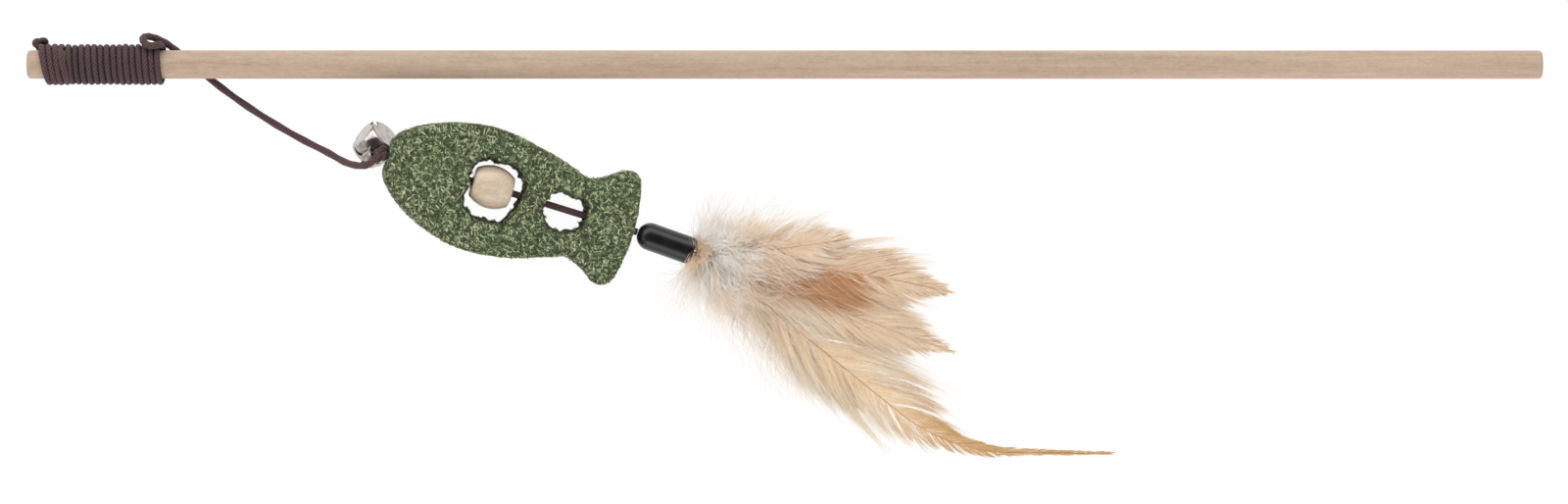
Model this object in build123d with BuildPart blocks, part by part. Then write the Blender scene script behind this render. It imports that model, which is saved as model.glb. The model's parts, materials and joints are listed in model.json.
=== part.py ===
from build123d import *
import math
import os

# Cat teaser wand, lying on a table as it is photographed from above.
# A cord is wound on the tip of a wooden rod. Its free end carries a bell and
# a pressed herb fish with a bead, and ends in a plastic cap of feathers.
# Millimetres. +X runs along the rod to the hand end, +Z is up, and the origin
# is on the table, below the middle of the part's box.

os.makedirs("parts", exist_ok=True)

# Rod: a plain dowel, raised at the tip by the cord that passes under it
rod_length = 480.0
rod_diameter = 9.0
rod_end_round = 1.2
rod_offset = 60.6
rod_clear_height = 7.0
crossing_station = 51.8

# Cord: elastic, stretched thinner where it is wound on
cord_diameter = 2.2
wound_diameter = 1.55
turn_gap = 0.43
winding_turns = 19
winding_station = 5.2
winding_rod_gap = 0.25
start_angle = -15.0
tip_knot_diameter = 2.8
tip_knot_spread = 1.9
tip_knot_shift = 0.7
hitch_lead = 2.4
floor_gap = 0.05
joint_gap = 0.12

# Fish: a pressed slab with two windows, bored from nose to tail for the cord
fish_length = 81.9
fish_depth = 40.2
fish_thickness = 10.0
fish_edge_round = 2.0
fish_bore_diameter = 3.0
fish_nose_x = -125.15
fish_nose_y = 31.77
fish_heading = -17.2
fish_lean = 9.0
bead_window_length = 17.0
bead_window_width = 17.6
bead_window_round = 6.0
tail_window_length = 12.4
tail_window_width = 10.8
tail_window_round = 5.0

# Bead: a barrel that turns on the cord
bead_length = 12.8
bead_diameter = 13.8
bead_end_diameter = 9.2
bead_bore_diameter = 3.0

# Knot in front of the fish's nose
nose_knot_diameter = 4.0
nose_knot_gap = 0.15

# Bell: a square cushion of thin sheet with crossed slots and a strap eye
bell_diameter = 14.5
bell_across_flats = 10.4
bell_wall = 0.5
bell_slot_width = 1.2
bell_slot_hole = 2.4
bell_lean = 31.0
bell_lean_heading = -98.0
bell_turn = 8.0
eye_bore_diameter = 4.4
eye_strap_width = 3.2
eye_strap_thickness = 0.6
eye_stand = 1.8
eye_from_knot = 4.7
pea_diameter = 4.0
pea_gap = 0.3

# Cap: a bullet of black plastic that the feather quills are glued into
cap_length = 19.0
cap_diameter = 8.8
cap_wall = 0.9
cap_bore_diameter = 3.0
cap_heading = -19.5
cap_tail_gap = 1.0
tail_knot_diameter = 5.2
tail_knot_station = 4.0
glue_station = 8.0
glue_gap = 0.1

# Feathers: the longest one's shaft, and how far its wider web reaches
feather_length = 142.0
feather_reach = 20.0
quill_diameter = 0.9
quill_depth = 9.0
quill_run = 2.0
fan_radius = 12.0
feather_level_step = 1.05
web_thickness = 0.4
web_gap = 0.15
bare_length = 8.0
down_length = 40.0
down_width = 34.0
down_height = 8.0
down_gap = 0.35

# Shares of the fish's length and depth, from the nose, clockwise from above
fish_outline_shares = (
    (0.000, -0.010),
    (-0.003, 0.135),
    (0.062, 0.270),
    (0.201, 0.400),
    (0.383, 0.463),
    (0.584, 0.403),
    (0.685, 0.350),
    (0.766, 0.298),
    (0.816, 0.331),
    (0.897, 0.438),
    (0.954, 0.425),
    (0.983, 0.270),
    (0.997, -0.010),
    (0.988, -0.270),
    (0.967, -0.435),
    (0.912, -0.490),
    (0.836, -0.402),
    (0.771, -0.358),
    (0.705, -0.400),
    (0.534, -0.510),
    (0.348, -0.537),
    (0.171, -0.440),
    (0.052, -0.288),
    (0.000, -0.157),
)
bead_window_share = (0.430, -0.027)
tail_window_share = (0.715, -0.022)
bead_place_share = 0.4195

# Shares of a cord corner's shorter run, the cord's radius and the bell's radius
bend_share = 0.45
knot_lobe_share = 1.3
slot_level_share = 0.25

# Where the cord leaves the winding, along the rod, across it and above it
hitch_route = (
    (42.4, 6.5, 4.7),
    (40.6, 5.8, 5.9),
    (38.8, 5.8, 6.0),
    (37.1, 7.0, 5.1),
    (36.7, 8.3, 3.4),
    (37.9, 9.0, 1.6),
    (40.6, 8.4, -0.7),
    (43.5, 7.0, -3.0),
    (46.4, 4.8, -5.1),
)

# Where the free cord lies: on the table, then up over the bell's rim
free_route = (
    (-179.2, 53.4, 1.15),
    (-171.0, 47.5, 1.15),
    (-161.6, 41.5, 1.15),
    (-152.5, 36.4, 1.6),
    (-144.6, 32.6, 4.6),
    (-138.9, 30.2, 8.6),
    (-133.4, 29.3, 12.6),
)

# Each feather: the angle it fans out by, and the angle it bows by further on
feather_angles = {
    "lower_feather": (-28.0, 8.0),
    "long_feather": (-20.0, 38.5),
    "middle_feather": (-2.0, 2.0),
    "upper_feather": (13.0, -6.0),
    "short_feather": (26.0, 3.0),
}
# Each feather: its straight and its bowed part and its tip, as shares of the
# feather length, and its left and right web, as shares of the feather reach
feather_shares = {
    "lower_feather": (0.225, 0.190, 0.050, 0.65, 0.55),
    "long_feather": (0.542, 0.268, 0.225, 1.00, 0.65),
    "middle_feather": (0.270, 0.260, 0.070, 0.60, 0.50),
    "upper_feather": (0.239, 0.250, 0.060, 0.55, 0.55),
    "short_feather": (0.150, 0.110, 0.040, 0.45, 0.50),
}
# Webs: shares along the shaft past its bare part, and of the web's reach
web_shares = ((0.0, 0.10), (0.15, 0.62), (0.40, 1.00), (0.72, 0.88), (0.93, 0.42), (1.0, 0.04))
long_web_shares = (
    (0.0, 0.10),
    (0.15, 0.58),
    (0.37, 1.00),
    (0.52, 0.86),
    (0.60, 0.56),
    (0.68, 0.22),
    (0.80, 0.08),
    (1.0, 0.03),
)
shaft_steps = 24
shaft_shares = [(step / shaft_steps, 0) for step in range(shaft_steps + 1)]
# Down: shares of its length, of its width and of its height
down_shares = ((0.02, 0.26, 0.30), (0.30, 0.94, 0.95), (0.62, 1.00, 1.00), (1.00, 0.30, 0.25))

# Derived sizes
rod_radius = rod_diameter / 2
cord_radius = cord_diameter / 2
wound_radius = wound_diameter / 2
winding_pitch = wound_diameter + turn_gap
helix_radius = rod_radius + winding_rod_gap + wound_radius
rise_per_radian = winding_pitch / (2 * math.pi)
bell_radius = bell_diameter / 2
cap_radius = cap_diameter / 2
cap_bore_radius = cap_radius - cap_wall
quill_radius = quill_diameter / 2
overrun = 2 * rod_diameter


def heading_vector(heading, lean=0.0):
    """A unit vector at a compass angle in the table's plane, leaning down."""
    flat = math.cos(math.radians(lean))
    return Vector(
        flat * math.cos(math.radians(heading)),
        flat * math.sin(math.radians(heading)),
        -math.sin(math.radians(lean)),
    )


def running_plane(origin, heading, lean):
    """A plane whose X runs along a heading, leaning down, with Z upwards."""
    x_dir = heading_vector(heading, lean)
    return Plane(origin, x_dir=x_dir, z_dir=x_dir.cross(heading_vector(heading + 90)))


def corner_radii(route):
    """The largest fillet that each inner corner's two runs allow."""
    radii = []
    for before, corner, after in zip(route, route[1:], route[2:]):
        run = min((corner - before).length, (after - corner).length)
        half_turn = math.radians((corner - before).get_angle(after - corner)) / 2
        radii.append(bend_share * run / math.tan(half_turn))
    return radii


def cord_path(route):
    """The path of a cord: straight runs joined by tangent arcs."""
    radii = corner_radii(route)
    print("cord radii:", ", ".join(f"{radius:.1f}" for radius in radii))
    return FilletPolyline(*route, radius=radii)


def finish(builder, name):
    """Label a finished piece and write it."""
    builder.part.label = name
    export_step(builder.part, f"parts/{name}.step")


# Rod
rod_tilt = math.degrees(math.asin((rod_clear_height - rod_radius) / (rod_length - crossing_station)))
tip_height = rod_radius + rod_length * math.sin(math.radians(rod_tilt)) + floor_gap
rod_plane = running_plane(Vector(-rod_length / 2, rod_offset, tip_height), 0, rod_tilt)
rod_section = Plane(rod_plane.origin, x_dir=rod_plane.y_dir, z_dir=rod_plane.x_dir)

with BuildPart() as rod:
    with BuildSketch(rod_section):
        Circle(rod_radius)
    extrude(amount=rod_length)
    fillet(rod.edges().filter_by(GeomType.CIRCLE), rod_end_round)
finish(rod, "rod")


# Winding: one tube wound on the rod, as biarcs of half a turn
def helix_point(angle):
    """A point of the wound cord's centre line, and its direction."""
    start = math.radians(start_angle)
    place = (
        winding_station + rise_per_radian * (angle - start),
        helix_radius * math.cos(angle),
        helix_radius * math.sin(angle),
    )
    ahead = (
        winding_station + rise_per_radian * (1 + angle - start),
        place[1] - helix_radius * math.sin(angle),
        place[2] + helix_radius * math.cos(angle),
    )
    here = rod_plane.from_local_coords(Vector(*place))
    return here, (rod_plane.from_local_coords(Vector(*ahead)) - here).normalized()


def biarc_joint(start, start_way, end, end_way):
    """Where two arcs meet that leave one point and reach another smoothly."""
    span = end - start
    ways = start_way + end_way
    bend = 1 - start_way.dot(end_way)
    reach = span.dot(ways)
    arm = (math.sqrt(reach**2 + 2 * bend * span.dot(span)) - reach) / (2 * bend)
    first = start + start_way * arm
    second = end - end_way * arm
    return (first + second) * 0.5, (second - first).normalized()


half_turns = 2 * winding_turns
helix_stops = [helix_point(math.radians(start_angle) + math.pi * n) for n in range(half_turns + 1)]
winding_start = helix_stops[0][0] - helix_stops[0][1] * wound_diameter
winding_end = helix_stops[-1][0] + helix_stops[-1][1] * wound_diameter

with BuildPart() as cord_winding:
    with BuildLine() as turns:
        Line(winding_start, helix_stops[0][0])
        for (here, here_way), (there, there_way) in zip(helix_stops, helix_stops[1:]):
            middle, middle_way = biarc_joint(here, here_way, there, there_way)
            TangentArc(here, middle, tangent=here_way)
            TangentArc(middle, there, tangent=middle_way)
        Line(helix_stops[-1][0], winding_end)
    with BuildSketch(Plane(winding_start, z_dir=helix_stops[0][1])):
        Circle(wound_radius)
    sweep(path=turns.wires()[0])
finish(cord_winding, "cord_winding")

samples_per_turn = 48
winding_wire = turns.wires()[0]
sample_count = samples_per_turn * winding_turns
sampled = [winding_wire @ (n / sample_count) for n in range(sample_count + 1)]
half_turn_samples = samples_per_turn // 2
least_gap = min(
    (here - there).length - wound_diameter
    for number, here in enumerate(sampled)
    for there in sampled[number + half_turn_samples : number + 3 * half_turn_samples]
)
print(f"winding: {winding_wire.length:.1f} mm of cord, least gap to itself {least_gap:.3f} mm")

# Knot that ends the cord at the rod's tip
start_way = helix_stops[0][1]
tip_knot_radius = tip_knot_diameter / 2
tip_knot_centre = (
    winding_start
    - start_way * (tip_knot_radius + joint_gap)
    - rod_plane.x_dir * tip_knot_shift
)
with BuildPart() as tip_knot:
    with Locations(tip_knot_centre):
        Sphere(tip_knot_radius)
    for way in (-rod_plane.x_dir, rod_plane.y_dir):
        lobe_way = (way - start_way).normalized()
        with Locations(tip_knot_centre + lobe_way * tip_knot_spread):
            Sphere(tip_knot_radius)
finish(tip_knot, "tip_knot")

# Hitch: the loop that leaves the winding and passes under the rod
crossing = rod_plane.from_local_coords(Vector(crossing_station, 0, 0))
swing_point = Vector(crossing.X, crossing.Y, cord_radius + floor_gap)
end_way = helix_stops[-1][1]
hitch_points = [rod_plane.from_local_coords(Vector(*point)) for point in hitch_route]
hitch_way = (swing_point - hitch_points[-1]).normalized()
hitch_stop = swing_point - hitch_way * (cord_radius + joint_gap)
with BuildPart() as cord_hitch:
    with BuildLine() as hitch_line:
        cord_path([winding_end, winding_end + end_way * hitch_lead, *hitch_points, hitch_stop])
    with BuildSketch(Plane(winding_end, z_dir=end_way)):
        Circle(cord_radius)
    sweep(path=hitch_line.wires()[0])
finish(cord_hitch, "cord_hitch")
print(f"hitch: {hitch_line.wires()[0].length:.1f} mm of cord")

# Fish: its own plane leans down from the nose, which the bell's eye holds up
nose_height = (
    fish_thickness / 2 * math.cos(math.radians(fish_lean))
    + (fish_length - fish_edge_round) * math.sin(math.radians(fish_lean))
    + joint_gap
)
fish_plane = running_plane(Vector(fish_nose_x, fish_nose_y, nose_height), fish_heading, fish_lean)
fish_section = Plane(fish_plane.origin, x_dir=fish_plane.y_dir, z_dir=fish_plane.x_dir)
window_place = (bead_window_share[0] * fish_length, bead_window_share[1] * fish_depth)
tail_window_place = (tail_window_share[0] * fish_length, tail_window_share[1] * fish_depth)

with BuildPart() as fish_body:
    with BuildSketch(fish_plane) as fish_outline:
        with BuildLine():
            Spline(
                *[(along * fish_length, across * fish_depth) for along, across in fish_outline_shares],
                periodic=True,
            )
        make_face()
    extrude(amount=fish_thickness / 2, both=True)
    fillet(fish_body.faces().filter_by(fish_plane).edges(), fish_edge_round)
    with BuildSketch(fish_plane):
        with Locations(window_place):
            RectangleRounded(bead_window_length, bead_window_width, bead_window_round)
        with Locations(tail_window_place):
            RectangleRounded(tail_window_length, tail_window_width, tail_window_round)
    extrude(amount=fish_thickness, both=True, mode=Mode.SUBTRACT)
    with BuildSketch(fish_section.offset(-overrun)):
        Circle(fish_bore_diameter / 2)
    extrude(amount=fish_length + 2 * overrun, mode=Mode.SUBTRACT)
finish(fish_body, "fish_body")

# Bead: a barrel on the cord, in the fish's larger window
bead_middle = fish_section.offset(bead_place_share * fish_length)
bead_profile = Plane(bead_middle.origin, x_dir=fish_plane.x_dir, z_dir=fish_plane.z_dir)
with BuildPart() as bead:
    with BuildSketch(bead_profile):
        with BuildLine():
            bore_line = Polyline(
                (-bead_length / 2, bead_end_diameter / 2),
                (-bead_length / 2, bead_bore_diameter / 2),
                (bead_length / 2, bead_bore_diameter / 2),
                (bead_length / 2, bead_end_diameter / 2),
            )
            ThreePointArc(bore_line @ 1, (0, bead_diameter / 2), bore_line @ 0)
        make_face()
    revolve(axis=Axis(bead_middle.origin, fish_plane.x_dir))
finish(bead, "bead")

# Free cord: from under the rod to the knot at the fish's nose
knot_radius = nose_knot_diameter / 2
knot_centre = fish_plane.origin - fish_plane.x_dir * (knot_radius + nose_knot_gap)
free_points = [Vector(*point) for point in free_route]
eye_way = (knot_centre - free_points[-1]).normalized()
eye_centre = knot_centre - eye_way * eye_from_knot
lobe_radius = knot_lobe_share * cord_radius
with BuildPart() as cord_free:
    with BuildLine() as free_line:
        cord_path([swing_point, *free_points, knot_centre])
    with BuildSketch(Plane(swing_point, z_dir=free_line.wires()[0] % 0)):
        Circle(cord_radius)
    sweep(path=free_line.wires()[0])
    with Locations(swing_point):
        Sphere(cord_radius)
    for turn in (0, 120, 240):
        lobe_way = fish_plane.y_dir.rotate(Axis((0, 0, 0), fish_plane.x_dir), turn)
        with Locations(knot_centre + lobe_way * (knot_radius - lobe_radius)):
            Sphere(lobe_radius)
finish(cord_free, "cord_free")
free_length = free_line.wires()[0].length
tube_volume = math.pi * cord_radius**2 * free_length
print(f"free cord: {free_length:.1f} mm, tube {tube_volume:.0f} of {cord_free.part.volume:.0f} mm3")

# Cord through the fish, from the nose knot to the pivot behind the tail
pivot_station = fish_length + cap_tail_gap
pivot = fish_plane.origin + fish_plane.x_dir * pivot_station
with BuildPart() as cord_through:
    with BuildSketch(fish_section):
        Circle(cord_radius)
    extrude(amount=pivot_station)
    with Locations(pivot):
        Sphere(cord_radius)
finish(cord_through, "cord_through")

# Bell: its plane's Z points at the eye, and its X runs along the cord there
bell_up = heading_vector(bell_lean_heading, bell_lean - 90)
eye_reach = bell_radius + eye_stand
bell_centre = eye_centre - bell_up * eye_reach
cord_across = (eye_way - bell_up * eye_way.dot(bell_up)).normalized()
bell_plane = Plane(bell_centre, x_dir=cord_across, z_dir=bell_up)


def bell_form(shrink):
    """A sphere cut to a square cushion, smaller by shrink all round."""
    with BuildPart(bell_plane) as form:
        Sphere(bell_radius - shrink)
        Box(
            bell_across_flats - 2 * shrink,
            bell_across_flats - 2 * shrink,
            bell_diameter,
            rotation=(0, 0, bell_turn),
            mode=Mode.INTERSECT,
        )
    return form.part


# Slots: they cross below the bell's middle and end in holes at its corners
slot_level = slot_level_share * bell_radius
slot_turns = (bell_turn + 45, bell_turn + 135)
with BuildPart() as bell_shell:
    add(bell_form(0))
    add(bell_form(bell_wall), mode=Mode.SUBTRACT)
    with BuildSketch(bell_plane.offset(-slot_level)):
        for slot_turn in slot_turns:
            Rectangle(bell_diameter, bell_slot_width, rotation=slot_turn)
    extrude(amount=-bell_diameter, mode=Mode.SUBTRACT)
    for slot_turn in slot_turns:
        hole_way = bell_plane.x_dir.rotate(Axis((0, 0, 0), bell_up), slot_turn)
        hole_centre = bell_centre - bell_up * slot_level - hole_way * bell_radius
        with BuildSketch(Plane(hole_centre, z_dir=hole_way)):
            Circle(bell_slot_hole / 2)
        extrude(amount=bell_diameter, mode=Mode.SUBTRACT)
finish(bell_shell, "bell_shell")

# Eye: a strap bent over the bell's crown, that the cord passes through
eye_plane = Plane(bell_centre, x_dir=bell_plane.y_dir, z_dir=bell_plane.x_dir)
eye_radius = eye_bore_diameter / 2
strap_radius = eye_radius + eye_strap_thickness
with BuildPart() as bell_eye:
    with BuildSketch(eye_plane):
        with Locations((0, eye_reach)):
            Circle(strap_radius)
        with Locations((0, eye_reach / 2)):
            Rectangle(2 * strap_radius, eye_reach)
        with Locations((0, eye_reach)):
            Circle(eye_radius, mode=Mode.SUBTRACT)
        with Locations((0, eye_reach / 2)):
            Rectangle(2 * eye_radius, eye_reach, mode=Mode.SUBTRACT)
    extrude(amount=eye_strap_width / 2, both=True)
    add(bell_form(0), mode=Mode.SUBTRACT)
finish(bell_eye, "bell_eye")

# Pea: the loose ball that rings the bell
pea_radius = pea_diameter / 2
pea_drop = bell_radius - bell_wall - pea_radius - pea_gap
with BuildPart() as bell_pea:
    with Locations(bell_centre - bell_up * pea_drop):
        Sphere(pea_radius)
finish(bell_pea, "bell_pea")

# Cap: it droops until its mouth is on the table
cap_lean = math.degrees(math.asin((pivot.Z - cap_radius - 2 * floor_gap) / cap_length))
cap_plane = running_plane(pivot, cap_heading, cap_lean)
cap_axis = Axis(pivot, cap_plane.x_dir)
with BuildPart() as feather_cap:
    with BuildSketch(Plane(pivot, x_dir=cap_plane.x_dir, z_dir=cap_plane.z_dir)):
        with BuildLine():
            outer = Line((cap_length, cap_radius), (cap_radius, cap_radius))
            TangentArc(outer @ 1, (0, 0), tangent=outer % 1)
            Line((0, 0), (cap_length, 0))
            Line((cap_length, 0), (cap_length, cap_radius))
        make_face()
        with BuildLine():
            inner = Line((cap_length, cap_bore_radius), (cap_radius, cap_bore_radius))
            TangentArc(inner @ 1, (cap_wall, 0), tangent=inner % 1)
            Line((cap_wall, 0), (cap_length, 0))
            Line((cap_length, 0), (cap_length, cap_bore_radius))
        make_face(mode=Mode.SUBTRACT)
    revolve(axis=cap_axis)
    with BuildSketch(Plane(pivot, x_dir=cap_plane.y_dir, z_dir=cap_plane.x_dir)):
        Circle(cap_bore_diameter / 2)
    extrude(amount=cap_radius, mode=Mode.SUBTRACT)
finish(feather_cap, "feather_cap")

# Tail knot: the end of the cord, stopped inside the cap
tail_stub_start = pivot + cap_plane.x_dir * (cord_radius + joint_gap)
with BuildPart() as tail_knot:
    with BuildSketch(Plane(tail_stub_start, x_dir=cap_plane.y_dir, z_dir=cap_plane.x_dir)):
        Circle(cord_radius)
    extrude(amount=tail_knot_station - cord_radius - joint_gap)
    with Locations(pivot + cap_plane.x_dir * tail_knot_station):
        Sphere(tail_knot_diameter / 2)
finish(tail_knot, "tail_knot")

# Feathers: each a quill that runs on as a shaft, with a web on either side
mouth = pivot + cap_plane.x_dir * cap_length
feather_plane = running_plane(mouth, cap_heading, 0)
feather_count = len(feather_shares)
quills = []


def web_edge(shaft_wire, plane, shares, inset, reach):
    """The points of one long edge of a web, beside a shaft, in a plane."""
    bare = quill_depth + quill_run + bare_length
    points = []
    for along, across in shares:
        station = (bare + along * (shaft_wire.length - bare)) / shaft_wire.length
        here = plane.to_local_coords(shaft_wire @ station)
        ahead = plane.to_local_coords(shaft_wire @ station + shaft_wire % station) - here
        aside = inset + across * reach
        points.append((here.X - ahead.Y * aside, here.Y + ahead.X * aside))
    return points


for number, (feather_name, shares) in enumerate(feather_shares.items()):
    fan, bow = feather_angles[feather_name]
    straight_share, bow_share, tip_share, left_share, right_share = shares
    straight_length = straight_share * feather_length
    tip_length = tip_share * feather_length
    bow_radius = bow_share * feather_length / math.radians(abs(bow))
    level = (number - (feather_count - 1) / 2) * feather_level_step
    level_plane = feather_plane.offset(level)
    quill_start = level_plane.from_local_coords(Vector(-quill_depth, 0, 0))
    with BuildPart() as shaft:
        with BuildLine(level_plane) as shaft_line:
            quill_line = Line((-quill_depth, 0), (quill_run, 0))
            fan_line = JernArc(quill_line @ 1, quill_line % 1, fan_radius, fan)
            straight_line = Line(fan_line @ 1, fan_line @ 1 + (fan_line % 1) * straight_length)
            bow_line = JernArc(straight_line @ 1, straight_line % 1, bow_radius, bow)
            Line(bow_line @ 1, bow_line @ 1 + (bow_line % 1) * tip_length)
        with BuildSketch(Plane(quill_start, x_dir=level_plane.y_dir, z_dir=level_plane.x_dir)):
            Circle(quill_radius)
        sweep(path=shaft_line.wires()[0])
    finish(shaft, f"{feather_name}_shaft")
    quills.append(shaft)

    shaft_wire = shaft_line.wires()[0]
    outline_shares = long_web_shares if feather_name == "long_feather" else web_shares
    for side_name, side, reach_share in (("left", 1, left_share), ("right", -1, right_share)):
        inset = side * (quill_radius + web_gap)
        reach = side * reach_share * feather_reach
        with BuildPart() as web:
            with BuildSketch(level_plane):
                with BuildLine():
                    inner = Spline(*web_edge(shaft_wire, level_plane, shaft_shares, inset, 0))
                    outer = Spline(*web_edge(shaft_wire, level_plane, outline_shares, inset, reach))
                    Line(inner @ 0, outer @ 0)
                    Line(inner @ 1, outer @ 1)
                make_face()
            extrude(amount=web_thickness / 2, both=True)
        finish(web, f"{feather_name}_{side_name}_web")

# Glue: the plug that holds the quills in the cap
glue_start = pivot + cap_plane.x_dir * glue_station
with BuildPart() as glue_plug:
    with BuildSketch(Plane(glue_start, x_dir=cap_plane.y_dir, z_dir=cap_plane.x_dir)):
        Circle(cap_bore_radius - glue_gap)
    extrude(amount=cap_length - glue_station - glue_gap)
    for quill in quills:
        add(quill.part, mode=Mode.SUBTRACT)
finish(glue_plug, "glue_plug")

# Down: the fluff at the feathers' base, above and below the webs
stack_half = (feather_count - 1) / 2 * feather_level_step + quill_radius + down_gap


def down_tuft(side, height):
    """A puff on one side of the feathers, through arched sections."""
    foot = mouth + feather_plane.z_dir * (side * stack_half)
    with BuildPart() as tuft:
        for along, wide, high in down_shares:
            place = foot + feather_plane.x_dir * (along * down_length)
            with BuildSketch(Plane(place, x_dir=feather_plane.y_dir, z_dir=feather_plane.x_dir)):
                with BuildLine():
                    half_width = wide * down_width / 2
                    base = Line((-half_width, 0), (half_width, 0))
                    ThreePointArc(base @ 1, (0, side * high * height), base @ 0)
                make_face()
        loft()
    return tuft


upper_down = down_tuft(1, down_height)
finish(upper_down, "upper_down")
lower_down = down_tuft(-1, mouth.Z - stack_half - down_gap)
finish(lower_down, "lower_down")
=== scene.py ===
"""Looks of a cat teaser wand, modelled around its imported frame.

Each sub-assembly is a class that models its pieces and dresses them. Sizes are in
millimetres and become metres where a mesh is made. The frame's joints give the places.
"""

import json
import logging
import math
from collections.abc import Callable, Iterator
from contextlib import contextmanager
from dataclasses import dataclass, field
from enum import Enum

import bpy
import numpy as np
from mathutils import Matrix, Vector

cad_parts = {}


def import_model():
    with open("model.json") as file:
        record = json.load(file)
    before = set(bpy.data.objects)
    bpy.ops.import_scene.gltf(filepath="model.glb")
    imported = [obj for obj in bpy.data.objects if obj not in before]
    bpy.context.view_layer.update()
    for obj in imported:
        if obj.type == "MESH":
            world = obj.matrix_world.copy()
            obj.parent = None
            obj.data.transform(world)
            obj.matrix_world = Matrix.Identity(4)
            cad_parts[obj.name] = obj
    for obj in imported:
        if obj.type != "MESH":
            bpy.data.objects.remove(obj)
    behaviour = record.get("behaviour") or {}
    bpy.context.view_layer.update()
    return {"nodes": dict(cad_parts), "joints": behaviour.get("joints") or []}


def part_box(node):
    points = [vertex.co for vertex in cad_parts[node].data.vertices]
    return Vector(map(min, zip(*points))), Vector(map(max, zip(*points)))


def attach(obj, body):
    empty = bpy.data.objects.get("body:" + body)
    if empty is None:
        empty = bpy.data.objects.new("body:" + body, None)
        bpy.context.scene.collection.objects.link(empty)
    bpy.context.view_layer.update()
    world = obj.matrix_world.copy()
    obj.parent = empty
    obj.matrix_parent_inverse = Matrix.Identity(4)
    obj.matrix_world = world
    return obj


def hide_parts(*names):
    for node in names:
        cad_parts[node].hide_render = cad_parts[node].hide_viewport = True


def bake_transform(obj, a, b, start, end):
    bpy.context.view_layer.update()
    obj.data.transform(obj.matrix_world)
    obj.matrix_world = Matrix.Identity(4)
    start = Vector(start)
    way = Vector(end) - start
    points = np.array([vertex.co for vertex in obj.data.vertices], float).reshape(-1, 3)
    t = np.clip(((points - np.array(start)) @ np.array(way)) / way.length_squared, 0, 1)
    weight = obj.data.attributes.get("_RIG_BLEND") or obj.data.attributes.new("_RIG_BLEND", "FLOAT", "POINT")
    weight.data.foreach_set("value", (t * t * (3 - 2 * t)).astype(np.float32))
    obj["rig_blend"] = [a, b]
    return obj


Piece = bpy.types.Object
Colour = tuple[float, float, float]
MM = 0.001
UP = Vector((0, 0, 1))
WHITE = (1, 1, 1)
HAIR_FLOOR = 0.15
MERGE = 1e-6
PHASES = (0, 6)
log = logging.getLogger("wand")


class Side(Enum):
    """A side of a feather's shaft."""

    LEFT = 1
    RIGHT = -1


def tone(red: int, green: int, blue: int) -> Colour:
    """A colour of 0 to 255 steps on a screen, as linear light.

    Args:
        red, green, blue: The steps of each channel.

    Returns:
        The linear colour.
    """
    shares = (step / 255 for step in (red, green, blue))
    return tuple(s / 12.92 if s <= 0.04045 else ((s + 0.055) / 1.055) ** 2.4 for s in shares)


class Socket:
    """A shader value that Python's operators can reckon with."""

    def __init__(self, graph: "Graph", socket: bpy.types.NodeSocket) -> None:
        """Keep the socket and the graph that holds it."""
        self.graph = graph
        self.socket = socket

    def reckon(self, operation: str, first: object, second: object) -> "Socket":
        """A Math node of two values."""
        return self.graph.node("ShaderNodeMath", {"operation": operation}, {0: first, 1: second})

    def __add__(self, other: object) -> "Socket":
        """The sum."""
        return self.reckon("ADD", self, other)

    def __radd__(self, other: object) -> "Socket":
        """The sum, from the right."""
        return self.reckon("ADD", other, self)

    def __sub__(self, other: object) -> "Socket":
        """The difference."""
        return self.reckon("SUBTRACT", self, other)

    def __rsub__(self, other: object) -> "Socket":
        """The difference, from the right."""
        return self.reckon("SUBTRACT", other, self)

    def __mul__(self, other: object) -> "Socket":
        """The product."""
        return self.reckon("MULTIPLY", self, other)

    def __rmul__(self, other: object) -> "Socket":
        """The product, from the right."""
        return self.reckon("MULTIPLY", other, self)

    def wave(self) -> "Socket":
        """The sine of the value."""
        return self.reckon("SINE", self, 0)

    def larger(self, other: object) -> "Socket":
        """The larger of two values."""
        return self.reckon("MAXIMUM", self, other)

    def over(self, limit: float) -> "Socket":
        """1 where the value is over a limit, 0 elsewhere."""
        return self.reckon("GREATER_THAN", self, limit)

    def part(self, name: str) -> "Socket":
        """Another output of the same node."""
        return Socket(self.graph, self.socket.node.outputs[name])


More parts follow.
